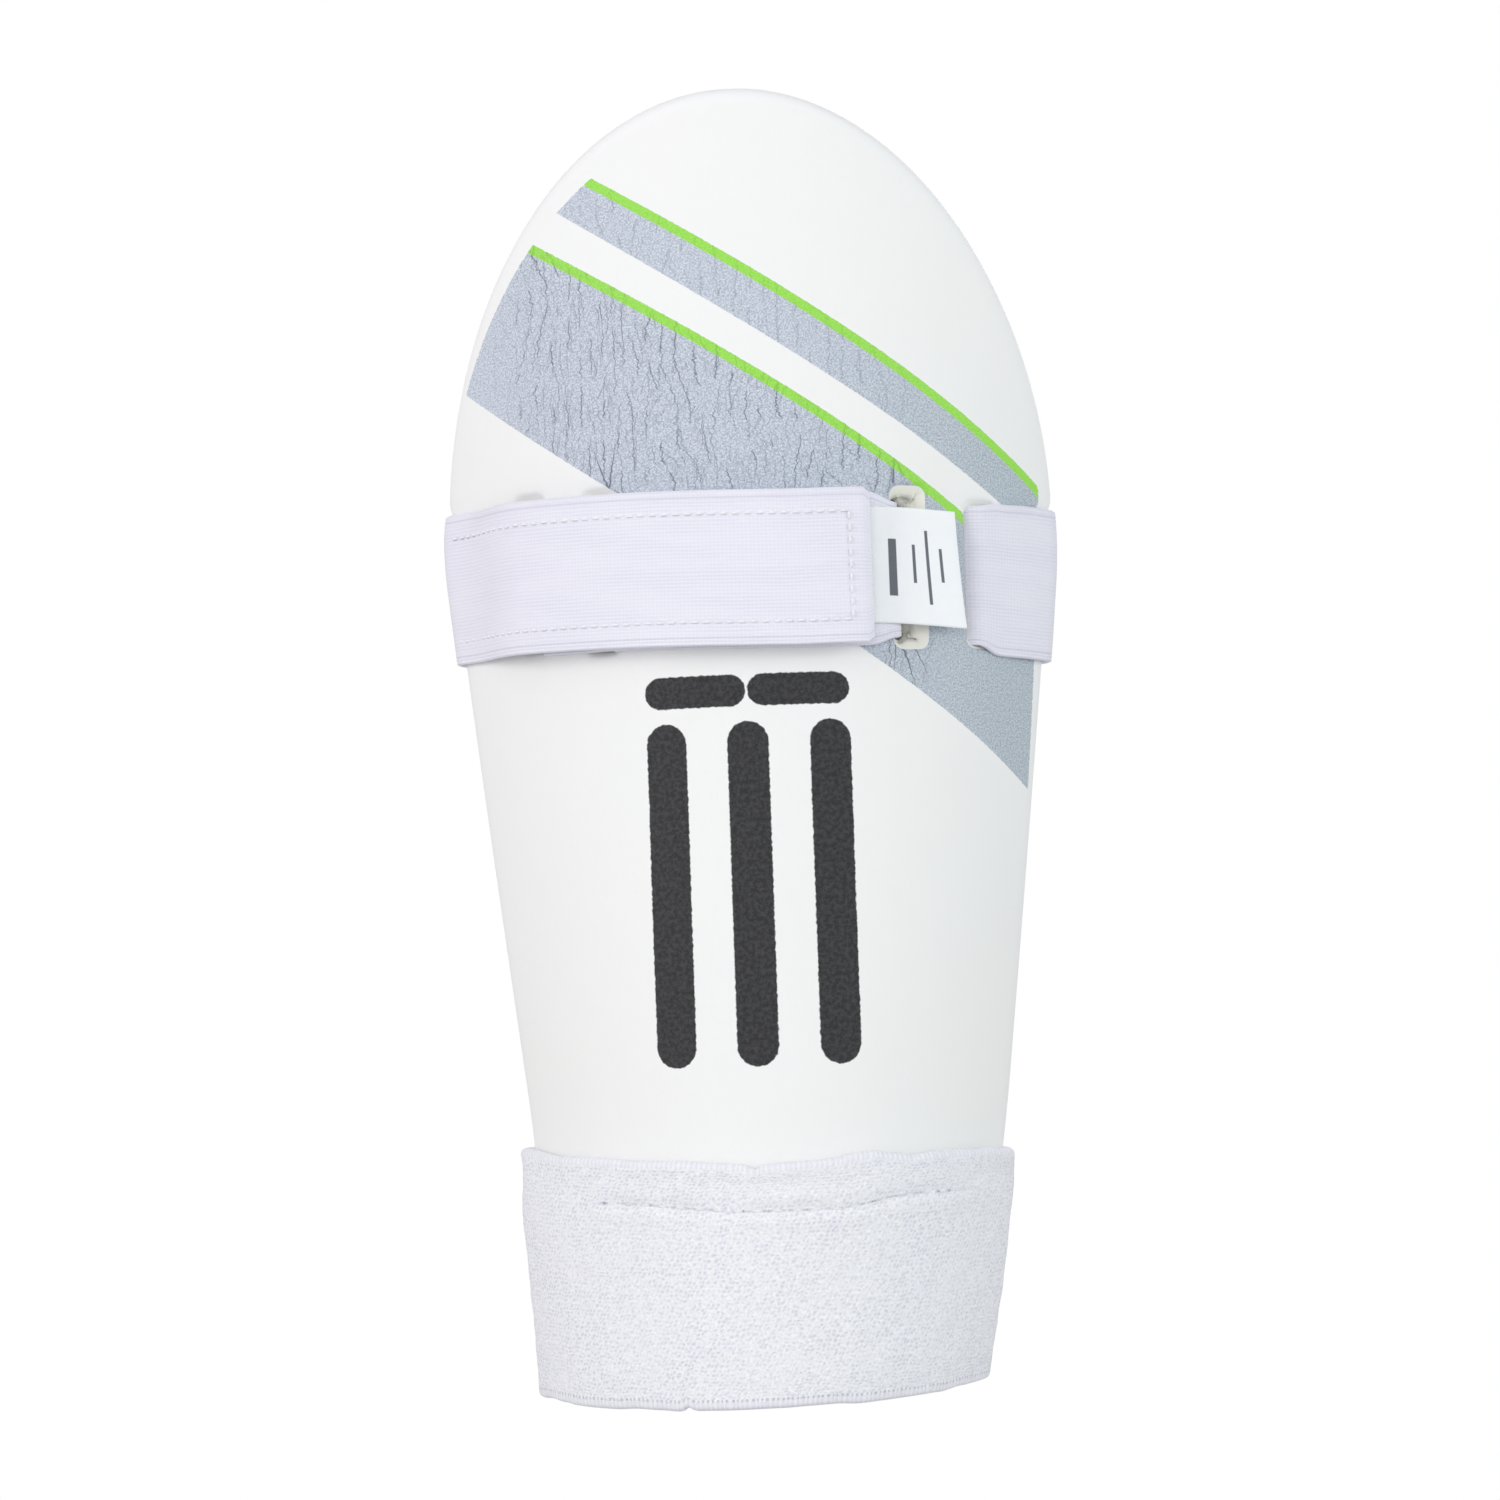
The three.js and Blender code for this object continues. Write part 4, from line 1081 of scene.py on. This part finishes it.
def strap_stations():
    """The whole length of elastic, from its sewn end to the tab's free end."""
    folded = [on_shell(s, DOUBLED) for s in np.linspace(RETURN_END, LEFT_NEAR_WALL + 1, 3)]
    folded += [
        on_shell(LEFT_NEAR_WALL - 3.5, DOUBLED - 0.35),
        on_shell(LEFT_BRIDGE_NEAR + 1, LAID + 0.1),
        on_shell(LEFT_BRIDGE_NEAR - 3, LAID),
    ]
    left = round_corner(LEFT_BRIDGE_FAR, 0, TURNED, PI / 2, PI)
    left += round_corner(LEFT_BRIDGE_FAR, INNER_FACE, TURNED, PI, PI * 1.5)
    left += round_corner(LEFT_TURN_S, UNDER_BRIDGE + STRAP_TURN, STRAP_TURN, -PI / 2, 0)
    left += round_corner(LEFT_NEAR_WALL, 0, TURNED, PI, PI / 2)
    front = [on_shell(s, LAID) for s in np.linspace(-22, 27, 10)]
    right = round_corner(NEAR_WALL, 0, TURNED, PI / 2, 0)
    right += round_corner(SLOT_TURN_S, UNDER_BRIDGE + STRAP_TURN, STRAP_TURN, PI, PI * 1.5)
    right += round_corner(BRIDGE_FAR, INNER_FACE, TURNED, -PI / 2, 0)
    right += round_corner(
        BRIDGE_FAR + TURNED + STRAP_TURN, LAID - STRAP_TURN, STRAP_TURN, PI, PI / 2
    )
    right += [on_shell(FAR_WALL + 3, LAID), on_shell(66, LAID)]
    right += [round_rim(1, a, TURNED) for a in np.linspace(PI / 2, STRAP_LEAVE, 10)]
    before_rear = len(folded + left + front + right) - 1
    shares = np.linspace(0, 1, 33)[1:]
    rear = [behind_arm(lambda a, b, t=t: t, TURNED, STRAP_BOW, STRAP_LEAVE) for t in shares]
    wrap = [round_rim(-1, a, TURNED) for a in np.linspace(STRAP_LEAVE, PI / 2, 10)[1:]]
    tab_s = np.concatenate([[TAB_HINGE - 4.5, TAB_HINGE - 2], np.linspace(TAB_HINGE, TAB_END, 25)])
    tab = [on_shell(s, tab_height_at(s)) for s in tab_s]
    stations = folded + left + front + right + rear + wrap + tab
    return stations, before_rear, before_rear + len(rear) // 2, before_rear + len(rear)


def across_steps(width, selvage, fine, coarse):
    """Places across a ribbon, close together at both selvages."""
    edge = np.linspace(width / 2 - selvage, width / 2, fine)
    middle = np.linspace(-(width / 2 - selvage), width / 2 - selvage, coarse)
    return np.concatenate([-edge[::-1], middle[1:-1], edge])


def cloth_half(across, width, half, ribs=0.0):
    """Half the cloth's thickness, rounded at its two edges, with heavier ribs along them."""
    inward = width / 2 - np.abs(across)
    body = half * round_end(inward, half, 0.02)
    edge = 1 - smooth(inward, 2.1, 2.6)
    return body + ribs * edge * smooth(inward, 0, 0.5) * np.cos(2 * PI * inward / 0.85 + PI)


def ribbon_heights(stations, centre, across):
    return [centre(float(station(np.array(STRAP_Z))[0])) + across for station in stations]


STRAP_STEP = 1.3
strap_across = across_steps(STRAP_WIDTH, 2.7, 14, 17)
stations, rear_start, rear_middle, rear_end = strap_stations()
strap_middle, strap_normal, strap_along, marks = lay_ribbon(
    stations, ribbon_heights(stations, strap_centre, strap_across), STRAP_STEP
)
strap_half = cloth_half(strap_across, STRAP_WIDTH, ELASTIC / 2, 0.09)
strap_middle = draw_in(strap_middle)


NO_ROW = 9.0  # stands for a row of sewing that isn't near


def sewing_near(middle, along):
    """The distance from each place to the tab's rows of sewing, and 1 on the tab."""
    s, _, _ = unroll(middle)
    offset = np.abs(np.broadcast_to(strap_across, s.shape))
    on_tab = (along[:, None] > marks[rear_end]) & (s > ROW_START)
    beside = offset - STITCH_OFFSET
    rows = np.where(s < ROW_END, np.abs(beside), np.hypot(beside, s - ROW_END))
    end_row = np.where(beside < 0, np.abs(s - ROW_END), NO_ROW)
    return pack(np.minimum(rows, end_row), on_tab * 1.0, 0 * s)


def strap_piece(name, start, end, cut_start=False, cut_end=False):
    """A length of the strap between two distances along it. A cut end has rounded corners."""
    part = slice(nearest(strap_along, start), nearest(strap_along, end) + 1)
    middle, normal, along = strap_middle[part], strap_normal[part], strap_along[part]
    half = np.repeat(strap_half[None], len(along), axis=0)
    for cut, distance in ((cut_start, along - along[0]), (cut_end, along[-1] - along)):
        if not cut:
            continue
        pull = rounded(1.6, distance) * 0.7 / (STRAP_WIDTH / 2)
        centre = middle[:, len(strap_across) // 2][:, None]
        middle = centre + (middle - centre) * (1 - pull)[:, None, None]
        half = half * round_end(distance, 0.7, 0.04)[:, None]
    wave = 0.09 * ripple(along[:, None] / 9, strap_across[None] / 12, 5)
    middle = middle + normal * wave[..., None]
    fold = sewing_near(middle, along)
    obj = thicken(name, middle, normal, along, strap_across, half, ELASTIC_LOOK, fold)
    return obj, (along[-1] - along[0]) * MM


strap_front, length = strap_piece("strap_front", 0, marks[rear_start], cut_start=True)
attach(strap_front, "guard")
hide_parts("strap_front_run")

strap_right, length = strap_piece("strap_rear_right", marks[rear_start], marks[rear_middle])
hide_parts("strap_rear_run")
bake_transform(strap_right)

strap_left, length = strap_piece("strap_rear_left", marks[rear_middle], marks[rear_end])
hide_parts("strap_rear_run")
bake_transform(strap_left)

strap_tab, length = strap_piece(
    "strap_wrap_and_tab", marks[rear_end], strap_along[-1], cut_end=True
)
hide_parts("strap_left_wrap", "strap_tab")
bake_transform(strap_tab)


def flat_ribbon(name, s_values, heights, width, half, centre, material, step=1.4, shape=None):
    """A ribbon that lies along the shell, such as a tape or the label."""
    stations = [on_shell(s, h) for s, h in zip(s_values, heights)]
    across = across_steps(width, 1.4, 6, 21)
    middle, normal, along, _ = lay_ribbon(stations, ribbon_heights(stations, centre, across), step)
    if shape is not None:
        middle = shape(middle, normal, along, across)
    ends = np.minimum(along - along[0], along[-1] - along)
    thickness = cloth_half(across, width, half)[None] * round_end(ends, half, 0.04)[:, None]
    obj = thicken(name, middle, normal, along, across, thickness, material)
    return obj, (along[-1] - along[0]) * MM


hook_s = np.linspace(HOOK_START, HOOK_END, 20)
hook_n = tab_height_at(hook_s) - (TAB_HEIGHT - HOOK_HEIGHT)
hook_tape, length = flat_ribbon(
    "hook_tape", hook_s, hook_n, HOOK_WIDTH, TAPE / 2, strap_centre, HOOK_LOOK
)
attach(hook_tape, "tab")
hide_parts("hook_patch")

loop_s = np.linspace(LOOP_START, LOOP_END, 10)
loop_tape, length = flat_ribbon(
    "loop_tape", loop_s, np.full(10, LOOP_HEIGHT), LOOP_WIDTH, TAPE / 2, strap_centre, LOOP_LOOK
)
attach(loop_tape, "guard")
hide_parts("loop_patch")


# ---- The label ---------------------------------------------------------------------------------


def label_centre(x):
    return strap_centre(x) + LABEL_RISE


def label_shape(middle, normal, along, across):
    """The cut end slants, and the loose part curls a little."""
    out = smooth(along, LABEL_FOLD - LABEL_START + 3, LABEL_END - LABEL_START)[:, None]
    slant = 1.0 * out * (-across[None] / (LABEL_WIDTH / 2))
    forward = unit(np.gradient(middle, along, axis=0))
    curl = 0.5 * out * (np.abs(across[None]) / (LABEL_WIDTH / 2)) ** 2
    bend = 0.25 * np.sin(along / 7.0)[:, None] * out
    return middle + forward * slant[..., None] + normal * (curl + bend)[..., None]


label_s = np.concatenate(
    [np.linspace(LABEL_START, LABEL_FOLD, 4), np.linspace(LABEL_FOLD, LABEL_END, 10)[1:]]
)
label_out = np.clip((label_s - LABEL_FOLD) / (LABEL_END - LABEL_FOLD), 0, 1)
label, length = flat_ribbon(
    "label_ribbon",
    label_s,
    LABEL_HEIGHT + LABEL_LIFT * label_out**1.6,
    LABEL_WIDTH,
    SATIN / 2,
    label_centre,
    SATIN_LOOK,
    step=0.9,
    shape=label_shape,
)
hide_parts("label_stub", "label_flap")
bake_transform(label)


# ---- The wristband -----------------------------------------------------------------------------


def band_behind(x):
    def share_at(start, end):
        return (start[..., :1] - x) / (start[..., :1] - end[..., :1])

    return behind_arm(share_at, ON_FOAM, BAND_BOW, BAND_LEAVE)


def band_stations():
    """Once round the arm, from the join behind it, by the +X edge, to the join again."""
    turn = np.linspace(BAND_LEAVE, PI / 2, 10)
    behind_right = [band_behind(x) for x in np.linspace(JOIN_X, 38, 8)]
    right_edge = [round_rim(1, a, ON_FOAM) for a in turn]
    front = [
        (lambda z, t=t: place(t * (half_arc_at(z) - FOAM / 2), ON_FOAM, z))
        for t in np.linspace(1, -1, 31)[1:-1]
    ]
    left_edge = [round_rim(-1, a, ON_FOAM) for a in np.linspace(PI / 2, BAND_LEAVE, 10)]
    behind_left = [band_behind(x) for x in np.linspace(-38, JOIN_X, 10)]
    on_guard = right_edge + front + left_edge
    stations = behind_right + on_guard + behind_left
    return stations, len(behind_right), len(behind_right + on_guard) - 1


band_across = across_steps(BAND_HEIGHT, 3.0, 8, 45)
stations, band_right_end, band_left_start = band_stations()
band_middle, band_normal, band_along, band_marks = lay_ribbon(
    stations, [BAND_HEIGHT / 2 + band_across] * len(stations), 1.1
)
BAND_OUT = 1.0 if band_normal[len(band_along) // 2, 10, 1] < 0 else -1.0

# The drop of the wristband's top edge and the rise of its lower edge, as (x, amount).
TOP_DROP = (
    (-51, -0.3), (-44, 0.9), (-30, 1.3), (-15, 1.8), (-2, 2.7), (10, 2.2), (15, 1.9),
    (19, 1.1), (24, 0.9), (31.5, 2.2), (36, 1.7), (48, 1.9), (51, 2.7),
)
LOW_RISE = ((-50, 0.3), (-30, 0.5), (0, 1.0), (30, 1.4), (45, 1.8))
TOP_NOTCH = -1.6  # the x of a nick in each edge
LOW_NOTCH = -16.8


def sewn_height(x):
    """The height of the row that sews the wristband to the foam."""
    return SEAM_Z - 1.5 + 2.2 * smooth(x, 14, 32) + 1.9 * smooth(-x, 0, 34)


def dress_band():
    """Waves in the edges, the gathered crease over the sewn row, and lumps in the pile."""
    along, across = band_along[:, None], band_across[None]
    x, z = band_middle[..., 0], band_middle[..., 2]
    out = band_normal * BAND_OUT
    facing = smooth(-out[..., 1], 0.1, 0.4)
    over = z - sewn_height(x)
    sewn = between(x, SEAM_LEFT - 1, SEAM_LEFT + 5, SEAM_RIGHT - 8, SEAM_RIGHT - 1) * facing
    gather = 0.75 + 0.45 * ripple(along / 4.2, 0 * across, 11)
    crease = -0.95 * bell(over, 0.8) * gather + 0.35 * bell(over + 2.6, 1.8)
    crease = crease + 0.4 * bell(over - 3.0, 2.2) * (0.8 + 0.5 * ripple(along / 6, 0 * across, 12))
    lumps = 0.14 * ripple(along / 3.1, across / 3.3, 13)
    lumps = lumps + 0.08 * ripple(along / 1.5, across / 1.5, 14)
    broad = 0.3 * ripple(along / 24, across / 19, 15)
    top = smooth(across, BAND_HEIGHT / 2 - 9, BAND_HEIGHT / 2)
    low = 1 - smooth(across, -BAND_HEIGHT / 2, 9 - BAND_HEIGHT / 2)
    lift = (0.2 + 0.3 * ripple(along / 7, 0 * across, 16)) * top
    shift = out * (crease * sewn + lumps + broad + lift)[..., None]
    drop = np.interp(x, *zip(*TOP_DROP)) + 1.0 * bell(x - TOP_NOTCH, 1.1) * facing
    rise = np.interp(x, *zip(*LOW_RISE)) + 0.9 * bell(x - LOW_NOTCH, 0.9) * facing
    wave = 0.25 * ripple(along / 5.5, 0 * across, 17)
    shift[..., 2] += low * (rise + wave) - top * (drop + wave * 0.6)
    # The band stands off the foam on the left, and is drawn in at the right's top corner.
    shift[..., 0] -= smooth(-x, 22, 46) * (1 - smooth(z, 38, 52)) * (1.9 - 0.012 * z)
    shift[..., 0] -= smooth(x, 30, 48) * smooth(z, 44, 54) * 1.0
    return band_middle + shift, pack(over, sewn, 0 * over)


band_dressed, band_fold = dress_band()
band_half = cloth_half(band_across, BAND_HEIGHT, TERRY / 2)


def band_piece(name, start, end):
    """A length of the wristband between two distances along it."""
    part = slice(nearest(band_along, start), nearest(band_along, end) + 1)
    middle, normal, along = band_dressed[part], band_normal[part], band_along[part]
    fold = band_fold[part]
    obj = thicken(name, middle, normal, along, band_across, band_half, TERRY_LOOK, fold)
    return obj


band_right = band_piece("wristband_right_side", 0, band_marks[band_right_end])
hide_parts("wristband_back")
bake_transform(band_right)
band_front = band_piece("wristband_face", band_marks[band_right_end], band_marks[band_left_start])
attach(band_front, "guard")
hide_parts("wristband_front")
band_left = band_piece("wristband_left_side", band_marks[band_left_start], band_along[-1])
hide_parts("wristband_back")
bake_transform(band_left)


# ---- Stitching ---------------------------------------------------------------------------------


SEWING_STEP = 0.8


def stitches(name, runs, length, gap, radius, lift=0.05, jitter=0.06):
    """Threads along polylines of points and normals. Each dash dips into the cloth at both ends."""
    points, faces, weave = [], [], []
    rings, sides = 7, 7
    turn = np.linspace(0, 2 * PI, sides, endpoint=False)
    u = np.linspace(0, 1, rings)
    arch = np.sin(PI * u)
    thick = (radius * (0.55 + 0.45 * arch**0.5))[:, None, None]
    count = 0
    for run, normals in runs:
        t = travelled(run)
        dashes = max(1, int((t[-1] + gap) / (length + gap)))
        pitch = (t[-1] + gap) / dashes
        for k in range(dashes):
            start = k * pitch + jitter * float(ripple(count * 3.7, 0.5, 21))
            at = np.clip(start + u * (pitch - gap), 0, t[-1])
            line = pack(*(np.interp(at, t, run[:, c]) for c in range(3)))
            up = unit(pack(*(np.interp(at, t, normals[:, c]) for c in range(3))))
            side = np.cross(unit(np.gradient(line, axis=0)), up)
            line = line + up * (lift - 1.1 * radius + 1.5 * radius * arch**0.6)[:, None]
            line = line + side * (jitter * float(ripple(count * 1.9, 4.5, 22)))
            ring = (
                line[:, None]
                + side[:, None] * (np.cos(turn)[None, :, None] * thick)
                + up[:, None] * (np.sin(turn)[None, :, None] * thick * 0.8)
            )
            points.append(ring.reshape(-1, 3))
            weave.append(pack(*np.broadcast_arrays(at[:, None], turn[None], 0.0)).reshape(-1, 3))
            index = (count * rings * sides + np.arange(rings * sides)).reshape(rings, sides)
            a, b = index[:-1], index[1:]
            quads = pack(a, np.roll(a, -1, 1), np.roll(b, -1, 1), b)
            faces += [list(q) for q in quads.reshape(-1, 4)]
            faces += [list(index[0][::-1]), list(index[-1])]
            count += 1
    vectors = {"weave": np.concatenate(weave)}
    obj = make_piece(name, np.concatenate(points), faces, vectors, THREAD_LOOK)
    merge_rim(obj)
    return obj


def shell_run(corners, height_at, centre=strap_centre):
    """A row of sewing through corners given as (s, offset from the centre line)."""
    runs = []
    for (s0, h0), (s1, h1) in zip(corners, corners[1:]):
        steps = max(2, int(np.hypot(s1 - s0, h1 - h0) / SEWING_STEP))
        s = np.linspace(s0, s1, steps)
        n = height_at(s) + 0 * s
        z = centre(place(s, 0, STRAP_Z)[:, 0]) + np.linspace(h0, h1, steps)
        runs.append((place(s, n, z), unit(place(s, n + 1, z) - place(s, n, z))))
    return runs


tab_stitch = stitches(
    "tab_box_stitch",
    shell_run(
        [
            (ROW_START, STITCH_OFFSET),
            (ROW_END, STITCH_OFFSET),
            (ROW_END, -STITCH_OFFSET),
            (ROW_START, -STITCH_OFFSET),
        ],
        lambda s: tab_height_at(s) + ELASTIC / 2,
    ),
    1.9,
    0.6,
    0.34,
    lift=0.16,
)
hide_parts("tab_stitching")
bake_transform(tab_stitch)

SEWN_IN = 1.2  # from the loop tape's edges to its row
loop_side = LOOP_WIDTH / 2 - SEWN_IN
loop_left, loop_right = LOOP_START + SEWN_IN, LOOP_END - SEWN_IN
loop_stitch = stitches(
    "loop_tape_stitch",
    shell_run(
        [
            (loop_right, loop_side),
            (loop_left, loop_side),
            (loop_left, -loop_side),
            (loop_right, -loop_side),
        ],
        lambda s: LOOP_HEIGHT + TAPE / 2,
    ),
    2.0,
    0.8,
    0.25,
)
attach(loop_stitch, "guard")
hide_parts("loop_patch_stitching")

TACK_FIRST, TACK_LAST, TACK_SIDE = RETURN_END - 1.5, RETURN_END - 6.5, 14.5
anchor_stitch = stitches(
    "strap_bar_tack",
    shell_run(
        [
            (TACK_FIRST, TACK_SIDE),
            (TACK_FIRST, -TACK_SIDE),
            (TACK_LAST, -TACK_SIDE),
            (TACK_LAST, TACK_SIDE),
        ],
        lambda s: DOUBLED + ELASTIC / 2,
    ),
    1.6,
    0.5,
    0.25,
)
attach(anchor_stitch, "guard")
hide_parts("strap_anchor_stitching")

label_stitch = stitches(
    "label_row_stitch",
    shell_run(
        [(LABEL_FOLD - 2.2, LABEL_WIDTH / 2 - 1), (LABEL_FOLD - 2.2, 1 - LABEL_WIDTH / 2)],
        lambda s: LABEL_HEIGHT + SATIN / 2,
        label_centre,
    ),
    1.6,
    0.7,
    0.22,
)
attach(label_stitch, "guard")
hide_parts("label_stitching")


def band_surface(along, across):
    """The wristband's outer skin at a place on it, and its normal."""
    i = np.interp(along, band_along, np.arange(len(band_along)))
    j = np.interp(across, band_across, np.arange(len(band_across)))
    i0 = np.clip(i.astype(int), 0, len(band_along) - 2)
    j0 = np.clip(j.astype(int), 0, len(band_across) - 2)
    u, v = (i - i0)[:, None], (j - j0)[:, None]

    def look_up(grid):
        low = mix(grid[i0, j0], grid[i0 + 1, j0], u)
        high = mix(grid[i0, j0 + 1], grid[i0 + 1, j0 + 1], u)
        return mix(low, high, v)

    normal = unit(look_up(band_normal)) * BAND_OUT
    return look_up(band_dressed) + normal * TERRY / 2, normal


MID_ROW = 20  # a row across the wristband, near its middle
front_x = band_middle[:, MID_ROW, 0]
on_front = band_normal[:, MID_ROW, 1] * BAND_OUT < -0.3
seam_rows = np.where(on_front & (front_x > SEAM_LEFT + 1) & (front_x < SEAM_RIGHT - 5))[0]
seam_height = sewn_height(front_x[seam_rows]) - BAND_HEIGHT / 2
seam_stitch = stitches(
    "wristband_seam_stitch",
    [band_surface(band_along[seam_rows], seam_height)],
    2.4,
    1.6,
    0.24,
    lift=-0.12,
)
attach(seam_stitch, "guard")
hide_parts("wristband_seam_stitching")

# The zigzag that closes the wristband behind the arm.
ZIG_TURNS = 14
zig_x = JOIN_X + np.where(np.arange(ZIG_TURNS) % 2, 2.0, -2.0)
zig_z = np.linspace(3, BAND_HEIGHT - 3, ZIG_TURNS)
zig_points = np.array([band_behind(x)(np.array(z)) for x, z in zip(zig_x, zig_z)])
zig_points += [0, TERRY / 2 + 0.1, 0]
zig_normals = np.tile((0.0, 1.0, 0.0), (ZIG_TURNS, 1))
join_stitch = stitches(
    "wristband_join_stitch",
    [(zig_points[i : i + 2], zig_normals[i : i + 2]) for i in range(ZIG_TURNS - 1)],
    4.6,
    0.2,
    0.3,
    lift=0.15,
)
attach(join_stitch, "band_rear")
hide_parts("wristband_join_stitching")


# ---- Floor, light and camera -------------------------------------------------------------------


FLOOR_SIZE = 8000.0
FLOOR_Z = -0.1
floor_look = bpy.data.materials.new("white floor")
floor_look.use_nodes = True
tree = floor_look.node_tree
tree.nodes.clear()
glow = tree.nodes.new("ShaderNodeEmission")
glow.inputs["Strength"].default_value = 1.0
output = tree.nodes.new("ShaderNodeOutputMaterial")
tree.links.new(glow.outputs[0], output.inputs["Surface"])
corners = [
    (x * FLOOR_SIZE, y * FLOOR_SIZE, FLOOR_Z) for x, y in ((-1, -1), (1, -1), (1, 1), (-1, 1))
]
floor = make_piece("floor", corners, [(0, 1, 2, 3)], {}, floor_look)
floor.visible_diffuse = False
floor.visible_glossy = False

world = bpy.data.worlds.new("white studio")
bpy.context.scene.world = world
world.use_nodes = True
tree = world.node_tree
tree.nodes.clear()


def background(strength, colour):
    made = tree.nodes.new("ShaderNodeBackground")
    made.inputs["Strength"].default_value = strength
    made.inputs["Color"].default_value = colour + (1,)
    return made.outputs[0]


# The camera sees plain white, and the object is lit by a softer light.
path = tree.nodes.new("ShaderNodeLightPath")
choose = tree.nodes.new("ShaderNodeMixShader")
output = tree.nodes.new("ShaderNodeOutputWorld")
tree.links.new(path.outputs["Is Camera Ray"], choose.inputs[0])
tree.links.new(background(0.56, (0.985, 0.99, 1.0)), choose.inputs[1])
tree.links.new(background(1.0, (1, 1, 1)), choose.inputs[2])
tree.links.new(choose.outputs[0], output.inputs["Surface"])


def area_light(name, position, size, power, colour=(1, 1, 1)):
    light = bpy.data.lights.new(name, "AREA")
    light.shape = "SQUARE"
    light.size = size
    light.energy = power
    light.color = colour
    obj = bpy.data.objects.new(name, light)
    bpy.context.scene.collection.objects.link(obj)
    obj.location = position
    way = AIM - Vector(position)
    obj.rotation_euler = way.to_track_quat("-Z", "Y").to_euler()
    obj.visible_camera = False


AIM = Vector((0, 0, 0.14))
area_light("front", (0.0, -1.2, 0.3), 0.6, 3.0)
area_light("left", (-1.0, -0.75, 0.45), 0.7, 5.2, (1.0, 0.975, 0.98))
area_light("right", (1.05, -0.75, 0.35), 0.7, 3.8, (0.9, 1.0, 0.99))
area_light("back", (0.3, 1.2, 0.6), 0.9, 5.0)

bpy.context.scene.view_settings.view_transform = "Standard"

TARGET = Vector((0.4, -20.15, 138.2)) * MM
DISTANCE = 620 * MM
PITCH, YAW, ROLL = np.radians((4.24, 3.36, 1.96))
forward = Vector((-np.sin(YAW) * np.cos(PITCH), np.cos(YAW) * np.cos(PITCH), np.sin(PITCH)))
right = Vector((np.cos(YAW), np.sin(YAW), 0))
up = Vector((np.sin(YAW) * np.sin(PITCH), -np.cos(YAW) * np.sin(PITCH), np.cos(PITCH)))
rolled_right = right * np.cos(ROLL) - up * np.sin(ROLL)
rolled_up = right * np.sin(ROLL) + up * np.cos(ROLL)
camera_data = bpy.data.cameras.new("camera")
camera_data.lens = 70.36
camera_data.sensor_width = 36
camera_data.clip_start = 0.05
camera_data.clip_end = 100
camera = bpy.data.objects.new("camera", camera_data)
bpy.context.scene.collection.objects.link(camera)
turn = Matrix((rolled_right, rolled_up, -forward)).transposed().to_4x4()
camera.matrix_world = Matrix.Translation(TARGET - forward * DISTANCE) @ turn
bpy.context.scene.camera = camera

bpy.context.view_layer.update()
